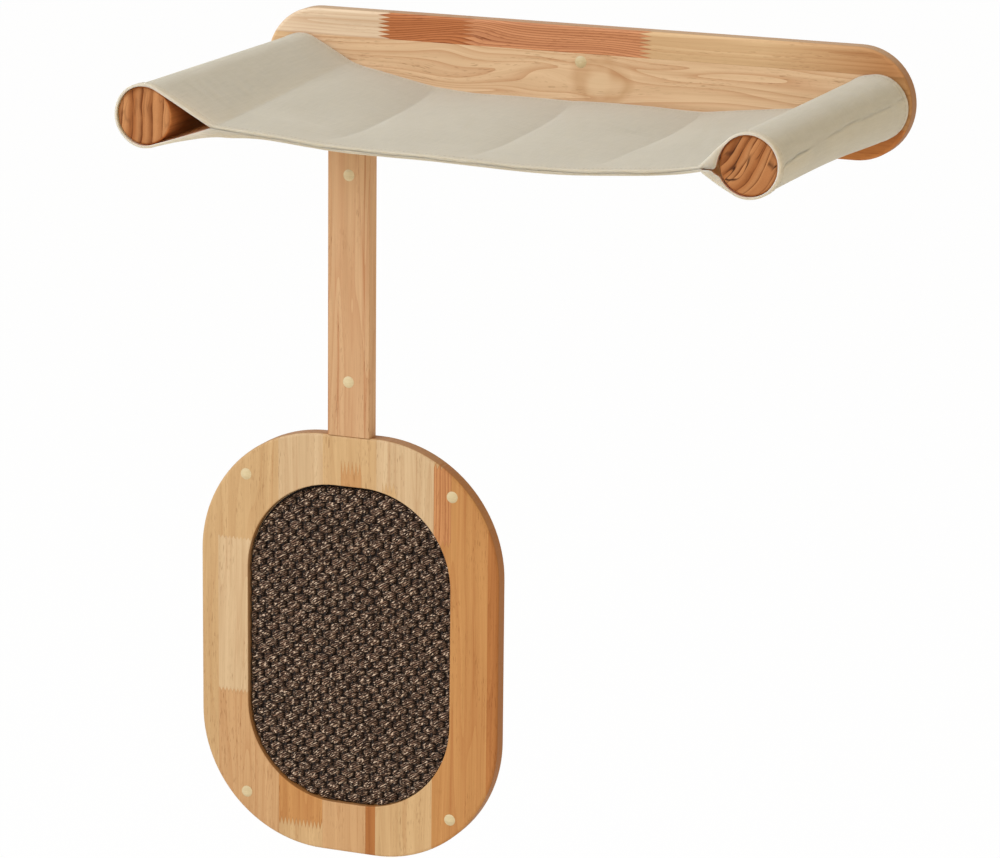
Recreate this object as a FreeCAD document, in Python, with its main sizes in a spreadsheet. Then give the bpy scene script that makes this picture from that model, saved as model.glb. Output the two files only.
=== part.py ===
"""Wall mounted cat tree: a canvas sling between two round arms on a back plate, and a scratching
frame that hangs below it on a post.

Frame: the wall is the plane y = 0 and the front of the tree faces -Y. X runs to the right as seen
from the front, Z up. The origin is the middle of the back plate's back face. Millimetres.
"""
import FreeCAD, Part
import math
import os
import Sketcher
from FreeCAD import Placement, Rotation, Vector

doc = FreeCAD.newDocument("WallCatTree")

# ---------------------------------------------------------------------------------------------
# Driving dimensions
# ---------------------------------------------------------------------------------------------

DIMENSIONS = [
    # back plate
    ("plate_length", 612, "back plate from end to end"),
    ("plate_height", 100, "back plate from top to bottom; its ends are full half rounds"),
    ("plate_thickness", 15, "back plate, wall to front face"),
    ("plate_edge_round", 3, "rounding of the plate's front edge"),
    ("plate_top_hole_rise", 18.5, "top wall screw above the plate's middle"),
    ("plate_low_hole_drop", 25, "two lower wall screws below the plate's middle"),
    ("plate_low_hole_spacing", 300, "between the two lower wall screws"),
    # arms
    ("arm_diameter", 50, "round arm"),
    ("arm_length", 320, "arm in front of the plate"),
    ("arm_spacing", 540, "between the arms' axes"),
    ("arm_end_round", 2, "rounding of an arm's front end"),
    # arm bolts
    ("bolt_diameter", 8, "arm bolt's shank"),
    ("bolt_length", 38, "arm bolt under its head"),
    ("bolt_head_diameter", 13, "arm bolt's head"),
    ("bolt_head_height", 5, "arm bolt's head"),
    ("bolt_socket_across", 5, "hexagon socket across flats"),
    ("bolt_socket_depth", 3, "hexagon socket"),
    ("bolt_hole_diameter", 8.5, "hole through the plate for an arm bolt"),
    ("bolt_recess_diameter", 24, "recess in the plate's back for head and washer"),
    ("bolt_recess_depth", 8, "recess in the plate's back"),
    ("washer_diameter", 20, "washer under an arm bolt's head"),
    ("washer_thickness", 1.6, "washer"),
    ("insert_diameter", 12, "threaded insert in an arm"),
    ("insert_length", 25, "threaded insert"),
    ("insert_setback", 0.5, "insert below the arm's end face"),
    ("arm_bore_depth", 32, "bore in the arm for insert and bolt end"),
    # post
    ("post_width", 42, "post, side to side"),
    ("post_thickness", 15, "post, wall to front face"),
    ("post_length", 296, "post between plate and scratch frame"),
    ("post_offset", 224.5, "post and scratch frame to the left of the plate's middle"),
    ("post_edge_round", 1, "rounding of the post's long front edges"),
    ("post_hole_inset", 51.5, "wall screws from the post's ends"),
    # wooden pins at the post's two ends
    ("pin_diameter", 6, "wooden joint pin"),
    ("pin_length", 30, "wooden joint pin, half in each piece"),
    ("pin_spacing", 20, "between the two pins of a joint"),
    # scratch frame
    ("frame_width", 302, "scratch frame, side to side"),
    ("frame_height", 404, "scratch frame, top to bottom"),
    ("frame_top_run", 54, "straight stretch of the frame's top edge, on which the post stands"),
    ("frame_thickness", 15, "scratch frame, wall to front face"),
    ("frame_edge_round", 3, "rounding of the frame's outer front edge"),
    ("frame_rim", 48, "wood beside and above the opening"),
    ("opening_top_run", 28, "straight stretch of the opening's top edge"),
    ("opening_edge_round", 1.2, "rounding of the opening's front edge"),
    ("frame_hole_inset", 14.5, "wall screws from the frame's corner rounds, on the diagonal"),
    # mat and its backing board
    ("rebate_margin", 12, "ledge round the opening in the frame's back"),
    ("rebate_depth", 6, "ledge in the frame's back"),
    ("board_thickness", 5, "backing board"),
    ("board_clearance", 0.3, "backing board all round in its rebate"),
    ("mat_thickness", 5.5, "scratch mat on the backing board"),
    ("mat_clearance", 0.5, "scratch mat all round in the opening"),
    ("tack_diameter", 3, "backing board screw"),
    ("tack_length", 12, "backing board screw"),
    ("tack_head_diameter", 6, "backing board screw's countersunk head"),
    ("tack_head_height", 1.7, "backing board screw's countersunk head"),
    ("tack_point_diameter", 0.4, "blunt point of a backing board screw"),
    # wall screw holes and their caps
    ("screw_hole_diameter", 5, "wall screw's hole at the wall"),
    ("cap_hole_diameter", 11, "wider front part of a wall screw's hole"),
    ("cap_hole_depth", 8, "wider front part of a wall screw's hole"),
    ("cap_depth", 5, "cap inside its hole"),
    ("cap_dome", 1.3, "cap standing out of the wood"),
    # canvas sling
    ("canvas_ply", 1.5, "one ply of canvas with its hem"),
    ("sleeve_clearance", 0.3, "canvas round an arm"),
    ("sling_gap", 2, "sling's back hem off the plate's face"),
    ("sling_overhang", 2, "sling's front hem past the arms' ends"),
    ("seam_reach", 58, "sleeve seam from the arm's axis, towards the middle"),
    ("seam_drop", 4, "sleeve seam below the arm's axis"),
    ("left_fold_reach", 74, "left fold line from the left sleeve seam"),
    ("left_fold_drop", 9.5, "left fold line below the seams"),
    ("mid_fold_drop", 13.5, "middle fold line below the seams"),
    ("right_fold_reach", 97, "right fold line from the right sleeve seam"),
    ("right_fold_drop", 14.5, "right fold line below the seams"),
    ("fold_puff", 1.4, "canvas between two fold lines above the straight line"),
    # fits
    ("fit_clearance", 0.05, "round pieces in their holes, all round"),
    ("drill_allowance", 0.5, "blind holes deeper than what they hold"),
]

sizes = doc.addObject("Spreadsheet::Sheet", "Sizes")
for row, (alias, number, meaning) in enumerate(DIMENSIONS, start=1):
    sizes.set(f"A{row}", meaning)
    sizes.set(f"B{row}", str(number))
    sizes.setAlias(f"B{row}", alias)
doc.recompute()


def size(alias):
    """The number in the sheet's cell of that name."""
    return float(sizes.get(alias))


# Derived dimensions, as expressions on the sheet
POST_X = "(-Sizes.post_offset)"
POST_TOP_Z = "(-Sizes.plate_height / 2)"
FRAME_TOP_Z = f"({POST_TOP_Z} - Sizes.post_length)"
FRAME_MID_Z = f"({FRAME_TOP_Z} - Sizes.frame_height / 2)"
OPENING_WIDTH = "(Sizes.frame_width - 2 * Sizes.frame_rim)"
OPENING_HEIGHT = "(Sizes.frame_height - 2 * Sizes.frame_rim)"
OPENING_CORNER = f"(({OPENING_WIDTH} - Sizes.opening_top_run) / 2)"
FRAME_CORNER = "((Sizes.frame_width - Sizes.frame_top_run) / 2)"
FRAME_HOLE_REACH = f"(({FRAME_CORNER} - Sizes.frame_hole_inset) * sqrt(0.5))"
FRAME_HOLE_X = f"(Sizes.frame_top_run / 2 + {FRAME_HOLE_REACH})"
FRAME_HOLE_Z = f"(Sizes.frame_height / 2 - {FRAME_CORNER} + {FRAME_HOLE_REACH})"
PIN_HOLE_DEPTH = "(Sizes.pin_length / 2 + Sizes.drill_allowance)"
CAP_DIAMETER = "(Sizes.cap_hole_diameter - 2 * Sizes.fit_clearance)"

parts = []


def keep(shape_object, node):
    """Name the object after its piece and list it for the export."""
    shape_object.Label = node
    parts.append(shape_object)
    return shape_object


# ---------------------------------------------------------------------------------------------
# Sketch and feature helpers
# ---------------------------------------------------------------------------------------------

def place(thing, x="0", y="0", z="0"):
    """Bind the thing's position to expressions, in millimetres."""
    for axis, expression in zip("xyz", (x, y, z)):
        thing.setExpression(f"Placement.Base.{axis}", expression)


def new_body(name, x="0", y="0", z="0"):
    body = doc.addObject("PartDesign::Body", name)
    place(body, x, y, z)
    return body


def new_sketch(body, name, plane="XZ_Plane", offset=None):
    """A sketch on one of the body's own origin planes, moved along the plane's normal by an
    expression. On XZ_Plane the sketch's x and y are X and Z, and its normal is -Y."""
    sketch = body.newObject("Sketcher::SketchObject", name)
    origin_plane = [o for o in body.Origin.OriginFeatures if o.Role == plane][0]
    sketch.AttachmentSupport = [(origin_plane, "")]
    sketch.MapMode = "FlatFace"
    if offset is not None:
        sketch.setExpression("AttachmentOffset.Base.z", offset)
    return sketch


def dimension(sketch, name, expression, *constraint):
    """Add a constraint and bind its value to an expression."""
    index = sketch.addConstraint(Sketcher.Constraint(*constraint))
    sketch.renameConstraint(index, name)
    sketch.setExpression(f"Constraints.{name}", expression)


def draw_circle(sketch, name, diameter, x="0", y="0"):
    circle = sketch.addGeometry(Part.Circle(Vector(1, 1, 0), Vector(0, 0, 1), 1))
    dimension(sketch, f"{name}_across", diameter, "Diameter", circle, 2)
    dimension(sketch, f"{name}_x", x, "DistanceX", -1, 1, circle, 3, 1)
    dimension(sketch, f"{name}_y", y, "DistanceY", -1, 1, circle, 3, 1)


def draw_round_rectangle(sketch, name, start, width, height, top_run):
    """A rectangle about the sketch's origin with equal corner rounds. start holds the width, height
    and top run that it is drawn with before the expressions take over."""
    half_width, half_height, half_run = (number / 2 for number in start)
    radius = half_width - half_run
    side = half_height - radius
    corners = [
        (half_run, side, 0),
        (-half_run, side, 90),
        (-half_run, -side, 180),
        (half_run, -side, 270),
    ]
    arcs = []
    for x, y, turn in corners:
        round_edge = Part.Circle(Vector(x, y, 0), Vector(0, 0, 1), radius)
        arc = Part.ArcOfCircle(round_edge, math.radians(turn), math.radians(turn + 90))
        arcs.append(sketch.addGeometry(arc))
    runs = [
        (Vector(half_run, half_height, 0), Vector(-half_run, half_height, 0)),
        (Vector(-half_width, side, 0), Vector(-half_width, -side, 0)),
        (Vector(-half_run, -half_height, 0), Vector(half_run, -half_height, 0)),
        (Vector(half_width, -side, 0), Vector(half_width, side, 0)),
    ]
    lines = [sketch.addGeometry(Part.LineSegment(*ends)) for ends in runs]
    for i in range(4):
        sketch.addConstraint(Sketcher.Constraint("Tangent", arcs[i], 2, lines[i], 1))
        sketch.addConstraint(Sketcher.Constraint("Tangent", lines[i], 2, arcs[(i + 1) % 4], 1))
        direction = "Horizontal" if i % 2 == 0 else "Vertical"
        sketch.addConstraint(Sketcher.Constraint(direction, lines[i]))
    for arc in arcs[1:]:
        sketch.addConstraint(Sketcher.Constraint("Equal", arcs[0], arc))
    sketch.addConstraint(Sketcher.Constraint("Symmetric", arcs[0], 3, arcs[2], 3, -1, 1))
    dimension(sketch, f"{name}_width", width, "Distance", lines[1], 1, lines[3], start[0])
    dimension(sketch, f"{name}_height", height, "Distance", lines[0], 1, lines[2], start[1])
    dimension(sketch, f"{name}_run", top_run, "DistanceX", lines[0], 2, lines[0], 1, start[2])


def draw_slot(sketch, name, start, length, height):
    """A slot about the sketch's origin: two level lines joined by half rounds."""
    radius = start[1] / 2
    reach = start[0] / 2 - radius
    right_end = Part.Circle(Vector(reach, 0, 0), Vector(0, 0, 1), radius)
    left_end = Part.Circle(Vector(-reach, 0, 0), Vector(0, 0, 1), radius)
    right = sketch.addGeometry(Part.ArcOfCircle(right_end, -math.pi / 2, math.pi / 2))
    left = sketch.addGeometry(Part.ArcOfCircle(left_end, math.pi / 2, 3 * math.pi / 2))
    top = sketch.addGeometry(Part.LineSegment(Vector(reach, radius, 0), Vector(-reach, radius, 0)))
    low = sketch.addGeometry(Part.LineSegment(Vector(-reach, -radius, 0), Vector(reach, -radius, 0)))
    sketch.addConstraint(Sketcher.Constraint("Tangent", right, 2, top, 1))
    sketch.addConstraint(Sketcher.Constraint("Tangent", top, 2, left, 1))
    sketch.addConstraint(Sketcher.Constraint("Tangent", left, 2, low, 1))
    sketch.addConstraint(Sketcher.Constraint("Tangent", low, 2, right, 1))
    sketch.addConstraint(Sketcher.Constraint("Horizontal", top))
    sketch.addConstraint(Sketcher.Constraint("Equal", right, left))
    sketch.addConstraint(Sketcher.Constraint("Symmetric", right, 3, left, 3, -1, 1))
    dimension(sketch, f"{name}_run", f"{length} - {height}", "DistanceX", left, 3, right, 3, 2 * reach)
    dimension(sketch, f"{name}_height", height, "Distance", top, 1, low, start[1])


def pad(body, sketch, length):
    """Pad away from the wall, or up, along the sketch's normal."""
    feature = body.newObject("PartDesign::Pad", f"{sketch.Name}Pad")
    feature.Profile = sketch
    feature.setExpression("Length", length)
    sketch.Visibility = False
    doc.recompute()
    return feature


LEAST_CUT = 0.01  # cubic millimetres; a pocket that takes less has missed the wood
TOLERANCE = 0.01  # millimetres, for telling which plane an edge lies in


def pocket(body, sketch, depth, along_normal=False):
    """Cut against the sketch's normal, or along it, and make sure that something was cut."""
    before = body.Shape.Volume
    feature = body.newObject("PartDesign::Pocket", f"{sketch.Name}Pocket")
    feature.Profile = sketch
    feature.Reversed = along_normal
    feature.setExpression("Length", depth)
    doc.recompute()
    if body.Shape.Volume > before - LEAST_CUT:
        raise ValueError(f"{sketch.Name} cuts nothing")
    return feature


def edge_names(shape, wanted):
    return [f"Edge{i}" for i, edge in enumerate(shape.Edges, start=1) if wanted(edge)]


def round_edges(body, wanted, radius):
    """Fillet the edges of the body's tip that the test picks."""
    base = body.Tip
    names = edge_names(base.Shape, wanted)
    if not names:
        raise ValueError(f"no edge to round on {body.Name}")
    feature = body.newObject("PartDesign::Fillet", f"{body.Name}Round{len(body.Group)}")
    feature.Base = (base, names)
    feature.setExpression("Radius", radius)
    doc.recompute()
    return feature


def at_depth(edge, y):
    """Whether the whole edge lies in the plane at that y of the body."""
    box = edge.BoundBox
    return abs(box.YMin - y) < TOLERANCE and abs(box.YMax - y) < TOLERANCE


def wall_screw_holes(body, places, thickness):
    """Holes through the wood with a wider part in front for the screw's head and its cap."""
    through = new_sketch(body, f"{body.Name}ScrewHoles")
    for i, (x, z) in enumerate(places):
        draw_circle(through, f"hole{i}", "Sizes.screw_hole_diameter", x, z)
    pocket(body, through, thickness, along_normal=True)
    front = new_sketch(body, f"{body.Name}CapHoles", offset=thickness)
    for i, (x, z) in enumerate(places):
        draw_circle(front, f"hole{i}", "Sizes.cap_hole_diameter", x, z)
    pocket(body, front, "Sizes.cap_hole_depth")


def pin_holes(body, name, x, y, z, upwards):
    """The two holes of a pinned joint, drilled from the level z up or down."""
    holes = new_sketch(body, name, "XY_Plane", offset=z)
    diameter = "Sizes.pin_diameter + 2 * Sizes.fit_clearance"
    draw_circle(holes, "left", diameter, f"{x} - Sizes.pin_spacing / 2", y)
    draw_circle(holes, "right", diameter, f"{x} + Sizes.pin_spacing / 2", y)
    pocket(body, holes, PIN_HOLE_DEPTH, along_normal=upwards)


# Screw places, in each board's own x and z
PLATE_SCREWS = [
    ("0", "Sizes.plate_top_hole_rise"),
    ("-Sizes.plate_low_hole_spacing / 2", "-Sizes.plate_low_hole_drop"),
    ("Sizes.plate_low_hole_spacing / 2", "-Sizes.plate_low_hole_drop"),
]
POST_SCREWS = [
    ("0", "-Sizes.post_hole_inset"),
    ("0", "-(Sizes.post_length - Sizes.post_hole_inset)"),
]
FRAME_SCREWS = [
    (f"{sign_x}{FRAME_HOLE_X}", f"{sign_z}{FRAME_HOLE_Z}")
    for sign_x, sign_z in (("-", ""), ("", ""), ("-", "-"), ("", "-"))
]


# ---------------------------------------------------------------------------------------------
# Boards: back plate, post, scratch frame, backing board
# ---------------------------------------------------------------------------------------------

def make_back_plate():
    body = new_body("BackPlate")
    outline = new_sketch(body, "PlateOutline")
    start = (size("plate_length"), size("plate_height"))
    draw_slot(outline, "plate", start, "Sizes.plate_length", "Sizes.plate_height")
    pad(body, outline, "Sizes.plate_thickness")
    front = -size("plate_thickness")
    round_edges(body, lambda edge: at_depth(edge, front), "Sizes.plate_edge_round")
    wall_screw_holes(body, PLATE_SCREWS, "Sizes.plate_thickness")
    bolt_holes = new_sketch(body, "PlateBoltHoles")
    recesses = new_sketch(body, "PlateBoltRecesses")
    for side, sign in (("left", "-"), ("right", "")):
        x = f"{sign}Sizes.arm_spacing / 2"
        draw_circle(bolt_holes, side, "Sizes.bolt_hole_diameter", x)
        draw_circle(recesses, side, "Sizes.bolt_recess_diameter", x)
    pocket(body, bolt_holes, "Sizes.plate_thickness", along_normal=True)
    pocket(body, recesses, "Sizes.bolt_recess_depth", along_normal=True)
    pin_holes(body, "PlatePinHoles", POST_X, "-Sizes.post_thickness / 2", POST_TOP_Z, upwards=True)
    return keep(body, "back_plate")


def make_post():
    body = new_body("Post", x=POST_X, z=POST_TOP_Z)
    outline = new_sketch(body, "PostSection", "XY_Plane", offset="-Sizes.post_length")
    half_width = size("post_width") / 2
    depth = size("post_thickness")
    corners = [
        Vector(-half_width, -depth, 0),
        Vector(half_width, -depth, 0),
        Vector(half_width, 0, 0),
        Vector(-half_width, 0, 0),
    ]
    for i, corner in enumerate(corners):
        outline.addGeometry(Part.LineSegment(corner, corners[(i + 1) % 4]))
    for i in range(4):
        outline.addConstraint(Sketcher.Constraint("Coincident", i, 2, (i + 1) % 4, 1))
    for i, direction in enumerate(("Horizontal", "Vertical", "Horizontal", "Vertical")):
        outline.addConstraint(Sketcher.Constraint(direction, i))
    outline.addConstraint(Sketcher.Constraint("PointOnObject", 2, 1, -1))
    dimension(outline, "width", "Sizes.post_width", "DistanceX", 0, 1, 0, 2, 2 * half_width)
    dimension(outline, "depth", "Sizes.post_thickness", "DistanceY", 1, 1, 1, 2, depth)
    dimension(outline, "half", "Sizes.post_width / 2", "DistanceX", -1, 1, 1, 1, half_width)
    pad(body, outline, "Sizes.post_length")

    def long_front_edge(edge):
        return at_depth(edge, -depth) and edge.BoundBox.ZLength > size("post_length") / 2

    round_edges(body, long_front_edge, "Sizes.post_edge_round")
    wall_screw_holes(body, POST_SCREWS, "Sizes.post_thickness")
    pin_holes(body, "PostTopPinHoles", "0", "-Sizes.post_thickness / 2", "0", upwards=False)
    foot = "-Sizes.post_length"
    pin_holes(body, "PostFootPinHoles", "0", "-Sizes.post_thickness / 2", foot, upwards=True)
    return keep(body, "post")


def draw_opening(sketch, name, margin):
    """The frame's opening, grown all round by a margin given as an expression and a number."""
    expression, number = margin
    start = (
        size("frame_width") - 2 * size("frame_rim") + 2 * number,
        size("frame_height") - 2 * size("frame_rim") + 2 * number,
        size("opening_top_run"),
    )
    width = f"{OPENING_WIDTH} + 2 * ({expression})"
    height = f"{OPENING_HEIGHT} + 2 * ({expression})"
    draw_round_rectangle(sketch, name, start, width, height, "Sizes.opening_top_run")


def tack_places():
    """Backing board screws, in the middle of the ledge: one on each side and one on each corner."""
    ledge = "Sizes.rebate_margin / 2"
    corner_x = "Sizes.opening_top_run / 2"
    corner_z = f"({OPENING_HEIGHT} / 2 - {OPENING_CORNER})"
    reach = f"({OPENING_CORNER} + {ledge}) * sqrt(0.5)"
    places = []
    for sign in ("", "-"):
        places.append((f"{sign}({OPENING_WIDTH} / 2 + {ledge})", "0"))
        places.append(("0", f"{sign}({OPENING_HEIGHT} / 2 + {ledge})"))
        for other in ("", "-"):
            places.append((f"{sign}({corner_x} + {reach})", f"{other}({corner_z} + {reach})"))
    return places


def make_scratch_frame():
    body = new_body("ScratchFrame", x=POST_X, z=FRAME_MID_Z)
    outline = new_sketch(body, "FrameOutline")
    start = (size("frame_width"), size("frame_height"), size("frame_top_run"))
    draw_round_rectangle(outline, "frame", start, "Sizes.frame_width", "Sizes.frame_height",
                         "Sizes.frame_top_run")
    draw_opening(outline, "opening", ("0", 0))
    pad(body, outline, "Sizes.frame_thickness")
    front = -size("frame_thickness")
    rim_middle = size("frame_width") / 2 - size("frame_rim") / 2
    rim_top = size("frame_height") / 2 - size("frame_rim") / 2

    def outside(edge):
        box = edge.BoundBox
        beyond_side = max(-box.XMin, box.XMax) > rim_middle
        return beyond_side or max(-box.ZMin, box.ZMax) > rim_top

    round_edges(body, lambda edge: at_depth(edge, front) and outside(edge), "Sizes.frame_edge_round")
    round_edges(body, lambda edge: at_depth(edge, front) and not outside(edge),
                "Sizes.opening_edge_round")
    rebate = new_sketch(body, "FrameRebate")
    draw_opening(rebate, "rebate", ("Sizes.rebate_margin", size("rebate_margin")))
    pocket(body, rebate, "Sizes.rebate_depth", along_normal=True)
    wall_screw_holes(body, FRAME_SCREWS, "Sizes.frame_thickness")
    pilots = new_sketch(body, "FrameTackHoles", offset="Sizes.rebate_depth")
    for i, (x, z) in enumerate(tack_places()):
        draw_circle(pilots, f"tack{i}", "Sizes.tack_diameter + 2 * Sizes.fit_clearance", x, z)
    pilot_depth = "Sizes.tack_length - Sizes.board_thickness + Sizes.drill_allowance"
    pocket(body, pilots, pilot_depth, along_normal=True)
    top = "Sizes.frame_height / 2"
    pin_holes(body, "FramePinHoles", "0", "-Sizes.post_thickness / 2", top, upwards=False)
    return keep(body, "scratch_frame")


def make_backing_board():
    back = "(Sizes.rebate_depth - Sizes.board_thickness)"
    body = new_body("BackingBoard", x=POST_X, y=f"-{back}", z=FRAME_MID_Z)
    outline = new_sketch(body, "BoardOutline")
    margin = "Sizes.rebate_margin - Sizes.board_clearance"
    draw_opening(outline, "board", (margin, size("rebate_margin") - size("board_clearance")))
    for i, (x, z) in enumerate(tack_places()):
        draw_circle(outline, f"tack{i}", "Sizes.tack_diameter + 4 * Sizes.fit_clearance", x, z)
    pad(body, outline, "Sizes.board_thickness")

    def at_back_of_hole(edge):
        return at_depth(edge, 0) and edge.Length < 5 * size("tack_diameter")

    board = body.Tip
    sinks = body.newObject("PartDesign::Chamfer", "BoardCountersinks")
    sinks.Base = (board, edge_names(board.Shape, at_back_of_hole))
    sinks.setExpression("Size", "Sizes.tack_head_height")
    doc.recompute()
    return keep(body, "backing_board")


def make_scratch_mat():
    body = new_body("ScratchMat", x=POST_X, y="-Sizes.rebate_depth", z=FRAME_MID_Z)
    outline = new_sketch(body, "MatOutline")
    draw_opening(outline, "mat", ("-Sizes.mat_clearance", -size("mat_clearance")))
    pad(body, outline, "Sizes.mat_thickness")
    return keep(body, "scratch_mat")


# ---------------------------------------------------------------------------------------------
# Arms
# ---------------------------------------------------------------------------------------------

def make_arm(name, node, x):
    body = new_body(name, x=x, y="-Sizes.plate_thickness")
    section = new_sketch(body, f"{name}Section")
    draw_circle(section, "arm", "Sizes.arm_diameter")
    pad(body, section, "Sizes.arm_length")
    front = -size("arm_length")
    round_edges(body, lambda edge: at_depth(edge, front), "Sizes.arm_end_round")
    bore = new_sketch(body, f"{name}Bore")
    draw_circle(bore, "bore", "Sizes.insert_diameter + 2 * Sizes.fit_clearance")
    pocket(body, bore, "Sizes.arm_bore_depth", along_normal=True)
    return keep(body, node)


# ---------------------------------------------------------------------------------------------
# Fasteners, from Part primitives
# ---------------------------------------------------------------------------------------------

AWAY_FROM_WALL = Rotation(Vector(1, 0, 0), 90)
TOWARDS_WALL = Rotation(Vector(1, 0, 0), -90)


def cylinder(name, diameter, length, x, y, z, turn=AWAY_FROM_WALL):
    thing = doc.addObject("Part::Cylinder", name)
    thing.setExpression("Radius", f"({diameter}) / 2")
    thing.setExpression("Height", length)
    thing.Placement = Placement(Vector(), turn)
    place(thing, x, y, z)
    return thing


def cut(name, base, tool):
    thing = doc.addObject("Part::Cut", name)
    thing.Base = base
    thing.Tool = tool
    return thing


def group(name, node, members):
    """Separate solids that make one node."""
    thing = doc.addObject("Part::Compound", name)
    thing.Links = members
    return keep(thing, node)


WASHER_BACK = "(Sizes.bolt_recess_depth - Sizes.washer_thickness)"
ARM_SIDES = (("Left", "-Sizes.arm_spacing / 2"), ("Right", "Sizes.arm_spacing / 2"))


def make_arm_bolt(side, x):
    shank = cylinder(f"{side}BoltShank", "Sizes.bolt_diameter", "Sizes.bolt_length",
                     x, f"-{WASHER_BACK}", "0")
    head = cylinder(f"{side}BoltHead", "Sizes.bolt_head_diameter", "Sizes.bolt_head_height",
                    x, f"-{WASHER_BACK}", "0", TOWARDS_WALL)
    solid = doc.addObject("Part::Fuse", f"{side}BoltBlank")
    solid.Base = shank
    solid.Tool = head
    socket = doc.addObject("Part::Prism", f"{side}BoltSocket")
    socket.Polygon = 6
    socket.setExpression("Circumradius", "Sizes.bolt_socket_across / sqrt(3)")
    socket.setExpression("Height", "Sizes.bolt_socket_depth")
    socket.Placement = Placement(Vector(), AWAY_FROM_WALL)
    place(socket, x, f"-({WASHER_BACK} - Sizes.bolt_head_height)", "0")
    return cut(f"{side}Bolt", solid, socket)


def make_arm_washer(side, x):
    ring = cylinder(f"{side}WasherDisc", "Sizes.washer_diameter", "Sizes.washer_thickness",
                    x, f"-{WASHER_BACK}", "0")
    hole = cylinder(f"{side}WasherHole", "Sizes.bolt_hole_diameter", "Sizes.washer_thickness",
                    x, f"-{WASHER_BACK}", "0")
    return cut(f"{side}Washer", ring, hole)


def make_arm_insert(side, x):
    back = "-(Sizes.plate_thickness + Sizes.insert_setback)"
    barrel = cylinder(f"{side}InsertBarrel", "Sizes.insert_diameter", "Sizes.insert_length",
                      x, back, "0")
    hole = cylinder(f"{side}InsertThread", "Sizes.bolt_diameter + 2 * Sizes.fit_clearance",
                    "Sizes.insert_length", x, back, "0")
    return cut(f"{side}Insert", barrel, hole)


def make_joint_pins(name, node, z):
    """Two upright wooden pins whose middles are at the joint's level."""
    pins = []
    for side, sign in (("Left", "-"), ("Right", "+")):
        x = f"{POST_X} {sign} Sizes.pin_spacing / 2"
        pins.append(cylinder(f"{name}{side}", "Sizes.pin_diameter", "Sizes.pin_length",
                             x, "-Sizes.post_thickness / 2", f"{z} - Sizes.pin_length / 2",
                             Rotation()))
    return group(name, node, pins)


def make_tack(i, x, z):
    """A countersunk backing board screw with a pointed end."""
    back = "-(Sizes.rebate_depth - Sizes.board_thickness)"
    tack_x = f"{POST_X} + {x}"
    tack_z = f"{FRAME_MID_Z} + {z}"
    tip_length = "Sizes.tack_diameter"
    shank = cylinder(f"Tack{i}Shank", "Sizes.tack_diameter", f"Sizes.tack_length - {tip_length}",
                     tack_x, back, tack_z)
    head = doc.addObject("Part::Cone", f"Tack{i}Head")
    head.setExpression("Radius1", "Sizes.tack_head_diameter / 2")
    head.setExpression("Radius2", "Sizes.tack_diameter / 2")
    head.setExpression("Height", "Sizes.tack_head_height")
    head.Placement = Placement(Vector(), AWAY_FROM_WALL)
    place(head, tack_x, back, tack_z)
    tip = doc.addObject("Part::Cone", f"Tack{i}Tip")
    tip.setExpression("Radius1", "Sizes.tack_diameter / 2")
    tip.setExpression("Radius2", "Sizes.tack_point_diameter / 2")
    tip.setExpression("Height", tip_length)
    tip.Placement = Placement(Vector(), AWAY_FROM_WALL)
    place(tip, tack_x, f"{back} - Sizes.tack_length + {tip_length}", tack_z)
    tack = doc.addObject("Part::MultiFuse", f"Tack{i}")
    tack.Shapes = [shank, head, tip]
    return tack


def make_cap(name, x, z, front):
    """A wooden button: a round peg in the wide part of a screw hole with a low dome in front."""
    radius = f"({CAP_DIAMETER} / 2)"
    dome_radius = f"(({radius} ^ 2 / (2 * Sizes.cap_dome)) + Sizes.cap_dome / 2)"
    peg = cylinder(f"{name}Peg", CAP_DIAMETER, "Sizes.cap_depth + Sizes.cap_dome",
                   x, f"-({front} - Sizes.cap_depth)", z)
    dome = doc.addObject("Part::Sphere", f"{name}Dome")
    dome.setExpression("Radius", dome_radius)
    dome.Placement = Placement(Vector(), AWAY_FROM_WALL)
    place(dome, x, f"-({front} + Sizes.cap_dome - {dome_radius})", z)
    cap = doc.addObject("Part::Common", name)
    cap.Base = peg
    cap.Tool = dome
    return cap


def make_caps(name, node, places, board_x, board_z, thickness):
    caps = []
    for i, (x, z) in enumerate(places):
        cap = make_cap(f"{name}{i}", f"{board_x} + {x}", f"{board_z} + {z}", thickness)
        caps.append(cap)
    return group(name, node, caps)


# ---------------------------------------------------------------------------------------------
# Canvas sling
# ---------------------------------------------------------------------------------------------

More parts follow.
